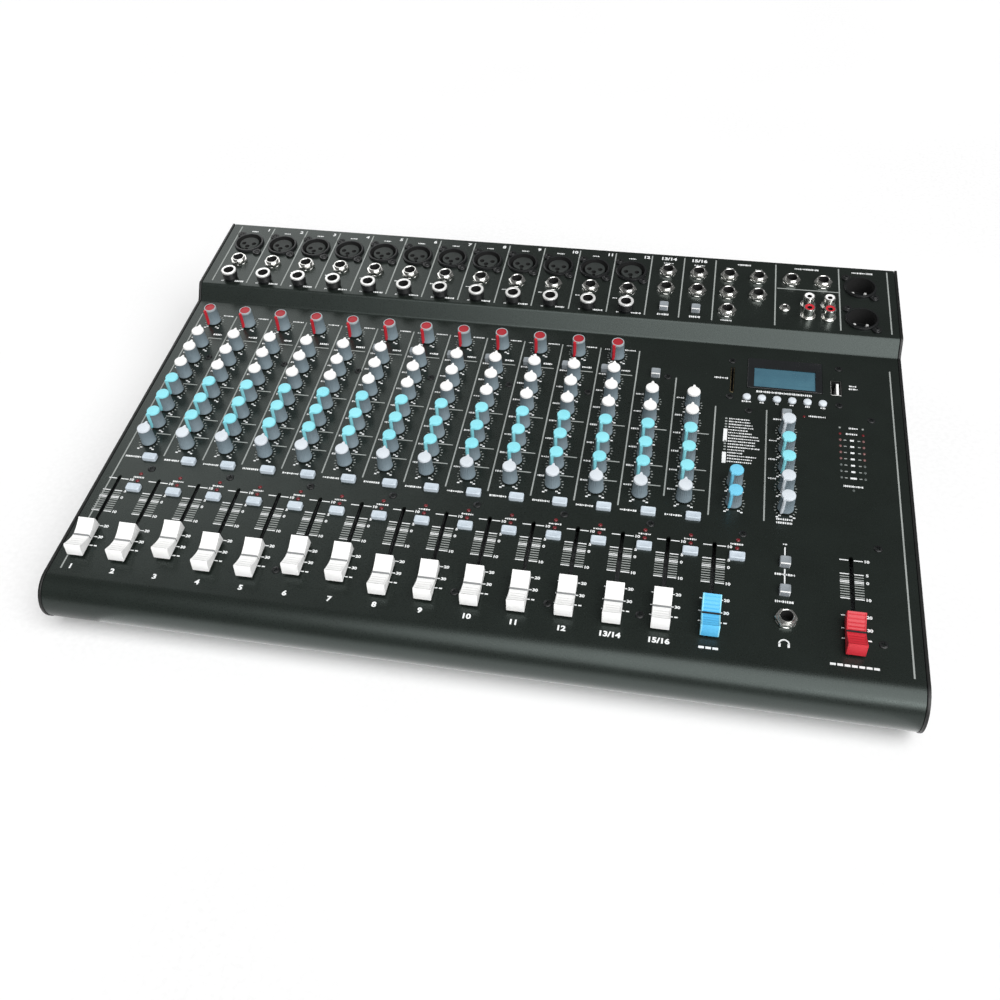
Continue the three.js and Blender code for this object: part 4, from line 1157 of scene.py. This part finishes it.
def player():
    """The display in its bezel, the card and stick sockets, and the row of round buttons."""
    bezel = area_block(DISPLAY, -6, 0.6, "bezel", corner=0.6, edge=0.3)
    opening = area_block(DISPLAY_GLASS, -0.6, 1.5, "bezel", corner=0.3, edge=0.05)
    publish(carved(bezel, opening), "display_bezel", stands_for=("display_window",))
    pane = area_block(DISPLAY_GLASS, -1.2, -0.1, "glass", margin=-0.05, corner=0.3, edge=0.15)
    publish(pane, "display_pane", stands_for=("display_window",))

    board = circuit(PLAYER_AREA, CONTROL_BOARD_Z)
    for area, top, finish in ((CARD_SLOT, -0.1, "brass"), (STICK_SLOT, -0.2, "chrome")):
        shell = area_block(area, CONTROL_BOARD_Z - 0.4, top, finish, margin=-0.05, corner=0.3, edge=0.15)
        # The hollows of the card and stick sockets are near-black painted shade.
        hollow = area_block(area, CONTROL_BOARD_Z + 1, 1, "pit", margin=-0.4, corner=0.2, edge=0.05)
        board.stamp(carved(shell, hollow))
    left, right, foot_row, head_row = STICK_SLOT
    x, y = deck_at((left + right) / 2, (foot_row + head_row) / 2)
    board.stamp(block(1.8, 11, CONTROL_BOARD_Z, -1, "white", corner=0.3, edge=0.2), x + 1.2, y)
    cap = turned([(2.9, CONTROL_BOARD_Z), (2.9, 0.3), (2.65, 0.8), (2.1, 1.15), (1.1, 1.3)], "silver", 32)
    for column in PLAYER_BUTTON_COLUMNS:
        board.stamp(cap, *deck_at(column, PLAYER_BUTTON_ROW))
    publish(board, "player_unit", stands_for=("player_board",))


# ---------------------------------------------------------------- prints, lamps and screws

PRINT_FOOT = -0.06
PRINT_TOP = 0.08
STROKES = (0.5, 1.3)
STROKE_HEIGHTS = (1, 1, 0.65)
STROKE_GAPS = (0.3, 0.45)


class Prints(Build):
    """White and grey marks, as very thin raised solids. Places are in pitches, sizes in millimetres."""

    def mark(self, column, row, width, height, finish="print", level=0, turn=0):
        """A small bar centred on a place."""
        x, y = deck_at(column, row)
        half_x, half_y = width / 2, height / 2
        spin = Matrix.Translation((x, y, level)) @ Matrix.Rotation(math.radians(turn), 4, "Z")
        corners = [(-half_x, -half_y), (half_x, -half_y), (half_x, half_y), (-half_x, half_y)]
        levels = (PRINT_FOOT, PRINT_TOP)
        self.loft([[spin @ Vector((*corner, z)) for corner in corners] for z in levels], finish)

    def mark_round(self, column, row, reach, degrees, width, height, finish="print", turn=0):
        """A mark this far out from a place, this many degrees round it."""
        across, along = polar(reach, degrees)
        self.mark(column + across / PITCH, row + along / PITCH, width, height, finish, turn=turn)

    def line(self, column, foot_row, head_row, level=0, width=0.95, finish="print_dim"):
        """A line up the panel."""
        self.mark(column, (foot_row + head_row) / 2, width, abs(head_row - foot_row) * PITCH, finish, level)

    def rule(self, left, right, row, level=0, width=0.8, finish="print_dim"):
        """A line across the panel."""
        self.mark((left + right) / 2, row, abs(right - left) * PITCH, width, finish, level)

    def label(self, column, row, width, height, level=0):
        """A label's place as a row of short strokes with nothing to read in them."""
        reach = -width / 2
        while reach < width / 2 - 0.3:
            stroke = min(random.uniform(*STROKES), width / 2 - reach)
            tall = height * random.choice(STROKE_HEIGHTS)
            self.mark(column + (reach + stroke / 2) / PITCH, row, stroke, tall, level=level)
            reach += stroke + random.choice(STROKE_GAPS)

    def labels(self, table, column=0, level=0):
        """Labels given as column, row, width and height, counted from a column."""
        for across, row, width, height in table:
            self.label(column + across, row, width, height, level)

    def text(self, words, column, row, size, level=0):
        """A number centred on a place."""
        x, y = deck_at(column, row)
        self.stamp(lettering(words, size), x, y, level)


LETTER_WEIGHT = 0.04
LETTER_STRETCH = 1.18
lettered = {}


def lettering(words, size):
    """A number as a thin solid centred on the origin, made once for each size."""
    if (words, size) not in lettered:
        curve = bpy.data.curves.new("lettering", "FONT")
        curve.body = words
        curve.size = size * MM
        curve.extrude = (PRINT_TOP - PRINT_FOOT) / 2 * MM
        curve.offset = LETTER_WEIGHT * size * MM
        curve.align_x = "CENTER"
        curve.align_y = "CENTER"
        curve.resolution_u = 3
        holder = new_object("lettering", curve)
        mesh = evaluated_mesh(holder)
        bpy.data.objects.remove(holder)
        work = bmesh.new()
        work.from_mesh(mesh)
        bmesh.ops.remove_doubles(work, verts=work.verts, dist=1e-6)
        work.to_mesh(mesh)
        work.free()
        middle = Vector((0, 0, (PRINT_TOP + PRINT_FOOT) / 2))
        points = [Vector((LETTER_STRETCH * v.co.x, v.co.y, v.co.z)) / MM + middle for v in mesh.vertices]
        faces = [list(polygon.vertices) for polygon in mesh.polygons]
        lettered[(words, size)] = Build().add(points, faces, ["print"] * len(faces))
    return lettered[(words, size)]


DIAL_TICKS = 15
DIAL_START = 240
DIAL_REACH = 6.7
# The bolder marks at a dial's ends, as degrees round and reach.
DIAL_ENDS = ((239, 7), (235, 9), (300, 7), (307, 8.9))


def dial_marks(prints, column, row):
    """The ring of ticks round a knob, from seven o'clock to five, with two bolder marks at each end."""
    for i in range(DIAL_TICKS):
        turn = DIAL_START - 2 * HALF_TURN * i / (DIAL_TICKS - 1)
        prints.mark_round(column, row, DIAL_REACH, turn, 1.3, 0.5, "print_dim", turn)
    for turn, reach in DIAL_ENDS:
        prints.mark_round(column, row, reach, turn, 1.6, 1)


SCALE_LINES = {-0.84: "10", -1.21: "5", -1.845: "10", -2.28: "20", -2.6: "30", -2.85: None}
SCALE_NEAR, SCALE_FAR = 0.055, 0.245
SCALE_NUMBER_SIZE = 2.8
NUMBER_COLUMN = 0.32
ZERO_ROW = -1.41
HATCH_LINES = 9
HATCH_TOP = -1.28
HATCH_STEP = 0.065
STRIP_NUMBER_ROW = -3.47
STRIP_NUMBER_SIZE = 4.9


def fader_marks(prints, column, label):
    """A fader's scale: lines to both sides of the slot, and their numbers to the right."""
    def dash(side, row, width, finish):
        prints.rule(column + side * SCALE_NEAR, column + side * SCALE_FAR, row, width=width, finish=finish)

    for row, number in SCALE_LINES.items():
        for side in (-1, 1):
            dash(side, row, 0.7, "print")
        if number:
            prints.text(number, column + NUMBER_COLUMN, row, SCALE_NUMBER_SIZE)
    for side in (-1, 1):
        dash(side, ZERO_ROW, 1.7, "print")
        for i in range(HATCH_LINES):
            dash(side, HATCH_TOP - i * HATCH_STEP, 0.6, "print_dim")
    prints.text("0", column + NUMBER_COLUMN, ZERO_ROW, SCALE_NUMBER_SIZE)
    prints.mark(column + 0.31, -2.85, 2, 0.9)
    if label:
        prints.text(label, column - 0.005, STRIP_NUMBER_ROW, STRIP_NUMBER_SIZE)


# In these tables a label is its column, row, width and height.
STEREO_NAMES = ["13/14", "15/16"]
STRIP_RULES = [2.497, 1.315, 0.703]
TOP_RULE = 4.295
MONO_LABELS = [
    (0.77, GAIN_ROW + 0.265, 8.4, 1.2), (0.18, GAIN_ROW + 0.245, 4, 0.9),
    (0.73, LOW_CUT_ROW + 0.03, 6.6, 1.7),
]
PLAYER_LABEL_WIDTHS = (6.5, 2.8, 2, 3.4, 3, 3.2)
MASTER_LABELS = [
    (14.1, 4.51, 9.5, 1.7), (15.64, 4.13, 38, 1.8),
    *[(column, PLAYER_BUTTON_ROW - 0.17, width, 1.5)
      for column, width in zip(PLAYER_BUTTON_COLUMNS, PLAYER_LABEL_WIDTHS)],
    (17.3, 4.6, 5.5, 1.4), (17.3, 4.5, 6, 1.4), (16.425, 3.425, 11.4, 1.4), (15.5, 3.215, 5.8, 1.5),
    *[(15.4, knob_row(step) + 0.27, 5.5, 1.4) for step in (3, 2, 1)],
    (MASTER_COLUMN - 0.02, 0.1, 10, 1.5), (MASTER_COLUMN - 0.02, 0, 10, 1.5),
    (MASTER_COLUMN, -0.6, 2.4, 1), (MASTER_COLUMN, -1.42, 12, 1.5), (MASTER_COLUMN, -2.13, 11, 1.6),
]
DECK_STRIP_LABELS = [(0.467, 8.581, 5.6, 1.3), (0.165, 6.84, 3.3, 1.2), (0.29, 6.279, 1.8, 1.4),
                     (0.773, 6.295, 7.2, 1.7)]
DECK_STEREO_LABELS = [(0, 8.5, 8, 1), (0, 6.33, 8.5, 2)]
DECK_OUTPUT_LABELS = [
    *[(column, 8.47, 5, 1) for column in AUX_COLUMNS],
    (14.5, 8.66, 10, 1.8), (16.15, 8.66, 18, 1.8), (17.6, 8.66, 16, 1.8), (14.1, 6.29, 8, 1.2),
]
# A divider is its column and the rows of its foot and head.
DIVIDERS = [
    *[(strip, 0, 5.24) for strip in range(1, MONO_STRIPS + 1)],
    (0, -3.55, 5.24), (18.2, -3.6, 5.26), (13, 0.42, 4.36), (14.016, 0, 3.48), (15.237, 0, 3.5),
]
DECK_DIVIDERS = [*range(MONO_STRIPS + 1), 12.885, 13.735, 15.335, 16.98, 18.23]
DECK_DIVIDER_ROWS = (6.25, 8.78)
DECK_NAME_ROW = 8.69
# The bars that stand for the effects and the main fader's names: middle column and number of bars.
NAME_BARS = ((14.205, 3), (17.07, 7))
BAR_STEP = 4
# The effects list: each line's width, and the lines with no number beside them but one of two blocks.
PROGRAM_WIDTHS = (14, 15, 16, 17, 13, 16, 20, 21, 18, 18, 21, 11, 10, 19, 17, 16)
PROGRAM_TOP = 3.092
PROGRAM_STEP = 0.0937
PROGRAM_COLUMN = 14.355
BLOCKED_PROGRAMS = (4, 5, 6, 7, 12, 13, 14, 15)
METER_ROWS = [2.934 - 0.1995 * i for i in range(8)]
METER_COLUMNS = (16.944, 17.474)
HEADPHONE_MARK_ROW = -3.17


def strip_prints(prints, strip):
    """The marks beside one input strip's knobs and buttons."""
    for _, place, _, _, row in knob_places():
        if place == strip and row < GAIN_ROW:
            prints.label(strip + 0.15, row + 0.23, 5.2, 1.5)
    mono = strip < MONO_STRIPS
    if mono:
        prints.labels(MONO_LABELS, strip)
    for row in [*STRIP_RULES, TOP_RULE] if mono else STRIP_RULES:
        prints.rule(strip + 0.52, strip + 0.9, row)
    prints.label(strip + 0.257, LISTEN_ROW - 0.01, 11.2, 1.5)


def effects_prints(prints):
    """The list of effects with a number or a block beside each group."""
    for i, width in enumerate(PROGRAM_WIDTHS):
        row = PROGRAM_TOP - PROGRAM_STEP * i
        prints.label(PROGRAM_COLUMN + width / 2 / PITCH, row, width, 1.05)
        if i not in BLOCKED_PROGRAMS:
            prints.mark(14.29, row, 1.5, 1.2, "print_dim")
    for row, height in ((2.53, 12), (1.8, 10)):
        prints.mark(14.285, row, 2.6, height)


def meter_prints(prints):
    """The short dashes and the levels between the two columns of lamps."""
    for column in METER_COLUMNS:
        prints.mark(column, 3.14, 1.2, 1.4, "print_dim")
    prints.label(17.26, 3.137, 6.2, 1.4)
    prints.label(17.215, METER_ROWS[0] + 0.01, 7.7, 1.4)
    for row in METER_ROWS[1:]:
        for column in (17.053, 17.372):
            prints.mark(column, row, 1.8, 0.8, "print_dim")
        prints.mark(17.212, row, 2.5 if row > METER_ROWS[-1] else 4, 1.5)
    prints.label(17.2, 1.286, 12.4, 1.5)


def master_prints(prints):
    """The labels round the player, the master knobs and the routing switches, and the headphone sign."""
    prints.labels(MASTER_LABELS)
    for foot_row, head_row in ((-1.7, -1.27), (-0.95, -0.68)):
        prints.line(MASTER_COLUMN, foot_row, head_row, width=0.8, finish="print")
    for turn in range(0, 181, 20):
        prints.mark_round(MASTER_COLUMN, HEADPHONE_MARK_ROW, 2.8, turn, 1.1, 0.9, turn=turn + 90)
    for side in (-1, 1):
        prints.mark(MASTER_COLUMN + 2.6 * side / PITCH, HEADPHONE_MARK_ROW - 1 / PITCH, 1.3, 2.4)


def panel_prints():
    """Every mark on the control surface."""
    prints = Prints()
    for strip in range(INPUT_STRIPS):
        strip_prints(prints, strip)
    for place in all_knobs():
        dial_marks(prints, *place)
    for divider in DIVIDERS:
        prints.line(*divider)
    names = [*map(str, range(1, MONO_STRIPS + 1)), *STEREO_NAMES, None, None]
    for column, name in zip(FADER_COLUMNS, names):
        fader_marks(prints, column, name)
    for column, bars in NAME_BARS:
        for i in range(bars):
            prints.mark(column + (i - (bars - 1) / 2) * BAR_STEP / PITCH, -3.49, 3.2, 1.5)
    for strip in range(STRIP_FADERS):
        prints.label(strip + 0.68, -0.745, 8, 1.3)
    effects_prints(prints)
    meter_prints(prints)
    master_prints(prints)
    publish(prints, "panel_marks")


def connector_prints():
    """Every mark on the connector deck."""
    prints = Prints()
    for divider in DECK_DIVIDERS:
        prints.line(divider, *DECK_DIVIDER_ROWS, RISE)
    prints.rule(15.38, 16.96, 7.774, RISE)
    for strip in range(MONO_STRIPS):
        prints.text(str(strip + 1), strip + 0.85, DECK_NAME_ROW, 4.4, RISE)
        prints.labels(DECK_STRIP_LABELS, strip, RISE)
    for column, name in zip(STEREO_COLUMNS, STEREO_NAMES):
        prints.text(name, column - 0.02, DECK_NAME_ROW, 4.6, RISE)
        prints.labels(DECK_STEREO_LABELS, column, RISE)
    prints.labels(DECK_OUTPUT_LABELS, level=RISE)
    publish(prints, "connector_marks")


METER_TINTS = ["led"] + ["led_pale"] * 4 + ["led_off"] * 3
STRIP_LAMP_RADIUS = 1.3
METER_LAMP_RADIUS = 0.95


def lamps():
    """The unlit lamps in the strips, dark red, and the two meters' columns of red, pale and grey."""
    places = [("led", strip + 0.68, -0.635) for strip in range(INPUT_STRIPS)]
    places += [("led", strip + 0.685, -0.857) for strip in range(STRIP_FADERS)]
    places += [("led", 14.7, -0.63), ("led", 16.119, 3.392), ("led_off", 17.2, 1.165)]
    for column in METER_COLUMNS:
        places += [(tint, column, row) for tint, row in zip(METER_TINTS, METER_ROWS)]
    group = Build()
    for tint, column, row in places:
        radius = STRIP_LAMP_RADIUS if row < 0 else METER_LAMP_RADIUS
        profile = [(radius, -0.8), (radius, 0.25), (radius * 0.7, 0.6), (radius * 0.3, 0.7)]
        group.stamp(turned(profile, tint, 16), *deck_at(column, row))
    publish(group, "lamps")


SCREWS = [
    *[(column, -0.445) for column in (0.877, 2.866, 4.861, 6.852, 8.843, 10.844, 12.779, 14.794, 17.658)],
    *[(column, 3.55) for column in (0.81, 2.91, 4.91, 6.84, 8.87, 10.87)],
    (12.788, 4.363), (14.807, 3.422), (17.684, 3.465),
    *[(column, -2.9) for column in (4.82, 8.83, 10.84, 12.77, 17.65)],
    (14.355, 5.158), (14.338, 3.861), (16.968, 5.193), (16.951, 3.88),
]


def panel_screws():
    """The black screws in the control surface."""
    group = Build()
    for place in SCREWS:
        group.stamp(screw(), *deck_at(*place), turn=random.uniform(0, 90))
    publish(group, "panel_screws")


# ---------------------------------------------------------------- rear and inside


def rear_block(width, height, low, high, finish, x=0, z=0, **shape):
    """A block on the rear wall: x across, z up, from one depth to another out of the wall."""
    built = block(width, height, low, high, finish, **shape)
    built.points = [Vector((-p.x + x, p.z, p.y + z)) for p in built.points]
    return built


SOCKET_X = -14
ROCKER_X = 20


def mains_inlet():
    """The mains socket's housing with its three contacts, and the well of the rocker switch."""
    low, high = node_box("mains_inlet")
    centre = (low + high) / 2
    face, back = high.y, low.y
    cuts = rear_block(27, 20, face - 15, face + 1, "black", x=SOCKET_X, corner=2, edge=0.1)
    cuts.stamp(rear_block(14, 20.6, face - 14, face + 1, "black", x=ROCKER_X, corner=0.6, edge=0.1))
    housing = carved(rear_block(74, 30, face - 1.7, face, "black", corner=5, edge=0.5), cuts)
    housing.stamp(carved(rear_block(70, 26, back, face - 1.5, "black", corner=1, edge=0.1), cuts))
    for dx, z in ((-7, -2), (7, -2), (0, 2)):
        housing.stamp(rear_block(2, 5, face - 16, face - 3, "chrome", x=SOCKET_X + dx, z=z, corner=0.3,
                                 edge=0.3))
    publish(housing, "mains_inlet_housing", stands_for=("mains_inlet",),
            place=Matrix.Translation((centre.x * MM, 0, centre.z * MM)))


ROCKER_OUTLINE = [(5.5, -8.8), (4.5, -4.4), (4.1, 0), (4.5, 4.4), (5.5, 8.8), (1, 8.8), (-4, 3), (-4, -3),
                  (1, -8.8)]
ROCKER_HALF = 6.5
ROCKER_REST = 10


def rocker():
    """The power rocker, with a dot and a bar as its generic on and off marks."""
    joint = Vector(joints["power_rocker_turn"]["pos_m"])
    shape = carried(ROCKER_OUTLINE, -ROCKER_HALF, ROCKER_HALF, "black", edge=0.5)
    shape.stamp(rear_block(3.2, 0.8, 4, 4.95, "print", z=6, corner=0.2, edge=0.05))
    shape.stamp(rear_block(1.6, 1.6, 4, 4.97, "print", z=-6, corner=0.75, edge=0.05))
    place = Matrix.Translation(joint) @ Matrix.Rotation(math.radians(ROCKER_REST), 4, "X")
    publish(shape, "power_rocker_piece", "power_rocker", ("power_rocker",), place)


def case_screws():
    """Low screws along the rear wall and under the base."""
    low, high = node_box("base_tray")
    group = Build()
    head = screw(2.6, 0.45, 0.2)
    rear = [(x, high.y, z) for x in (-250, -120, 0, 120, 250) for z in (low.z + 8, 70)]
    under = [(x, y, low.z) for x in (-250, -125, 0, 125, 250) for y in (-90, 30, 170)]
    for spots, turn in ((rear, -math.pi / 2), (under, math.pi)):
        for spot in spots:
            group.place(head, Matrix.Translation(spot) @ Matrix.Rotation(turn, 4, "X"))
    publish(group, "case_screws", place=Matrix.Identity(4))


def kept_nodes():
    """The CAD nodes that stay as they are, with finished materials."""
    for node, finish in (("base_tray", "panel"), ("power_supply", "steel"), ("ribbon_cable", "ribbon")):
        obj = frame["nodes"][node]
        obj.data.materials.clear()
        obj.data.materials.append(FINISHES[finish])


# ---------------------------------------------------------------- light, floor and camera


def aimed(location, target):
    """A matrix at a place whose -Z looks at a target."""
    look = (Vector(target) - Vector(location)).to_track_quat("-Z", "Y")
    return Matrix.Translation(location) @ look.to_matrix().to_4x4()


def gloss_light(name, location, size, power, target=(0, 0, 0)):
    """A rectangular light that only shows as a reflection."""
    light = bpy.data.lights.new(name, "AREA")
    light.shape = "RECTANGLE"
    light.size, light.size_y = size
    light.energy = power
    lamp = new_object(name, light)
    lamp.matrix_world = aimed(location, target)
    lamp.visible_diffuse = False
    lamp.visible_camera = False


WORLD_GLOW = 0.14
SKY_POWER = 3.7
SKY_SPREAD = 70
SKY_PLACE = (0.35, -0.48, 0.8)
FLOOR_REACH = 60
FLOOR_CORNERS = ((-1, -1), (1, -1), (1, 1), (-1, 1))


def studio():
    """A white floor under a broad soft sun, with three lights for the gloss."""
    world = bpy.data.worlds.new("studio")
    bpy.context.scene.world = world
    world.use_nodes = True
    background = world.node_tree.nodes["Background"]
    background.inputs["Color"].default_value = (1, 1, 1, 1)
    background.inputs["Strength"].default_value = WORLD_GLOW
    sky = bpy.data.lights.new("sky", "SUN")
    sky.energy = SKY_POWER
    sky.angle = math.radians(SKY_SPREAD)
    new_object("sky", sky).matrix_world = aimed(SKY_PLACE, (0, 0, 0))
    gloss_light("front", (0.92, -1.25, 0.95), (0.7, 0.22), 4.8)
    gloss_light("floor_glow", (0.015, -0.24, 0.001), (0.51, 0.18), 0.26, target=(0.015, -0.24, 1))
    gloss_light("rear_left", (-1.1, 1.3, 1.25), (1.2, 1.2), 8)

    floor_mesh = bpy.data.meshes.new("floor")
    corners = [(x * FLOOR_REACH, y * FLOOR_REACH, 0) for x, y in FLOOR_CORNERS]
    floor_mesh.from_pydata(corners, [], [(0, 1, 2, 3)])
    floor = new_object("floor", floor_mesh)
    paper = surface("floor_paper", "#f4f4f4", "#fafafa", (0.8, 0.95), patch=3, grain=300)
    floor.data.materials.append(paper)
    bpy.context.scene.view_settings.view_transform = "Standard"


CAMERA_PLACE = (12.94218, -15.25666, 18.15364)
CAMERA_TURN = (40.3389, 2.6773, 10.3650)
CAMERA_LENS = 37.52
CAMERA_SENSOR = 36
CAMERA_NEAR = 0.01


def camera():
    """The photograph's viewpoint, in the deck frame and in pitches."""
    data = bpy.data.cameras.new("camera")
    data.lens = CAMERA_LENS
    data.sensor_width = CAMERA_SENSOR
    data.clip_start = CAMERA_NEAR
    obj = new_object("camera", data)
    turn = Euler([math.radians(angle) for angle in CAMERA_TURN], "XYZ").to_matrix().to_4x4()
    obj.matrix_world = DECK @ Matrix.Translation(Vector(CAMERA_PLACE) * PITCH * MM) @ turn
    bpy.context.scene.camera = obj


# ---------------------------------------------------------------- assembly

camera()
studio()
kept_nodes()
top_panel()
end_plate(-1, LEFT_EDGE)
end_plate(1, RIGHT_EDGE)
for each in ("foot_front_left", "foot_front_right", "foot_rear_left", "foot_rear_right"):
    foot(each)
boards()
fixed_knobs()
moving_knobs()
faders()
buttons()
connectors()
player()
panel_prints()
connector_prints()
lamps()
panel_screws()
mains_inlet()
rocker()
case_screws()
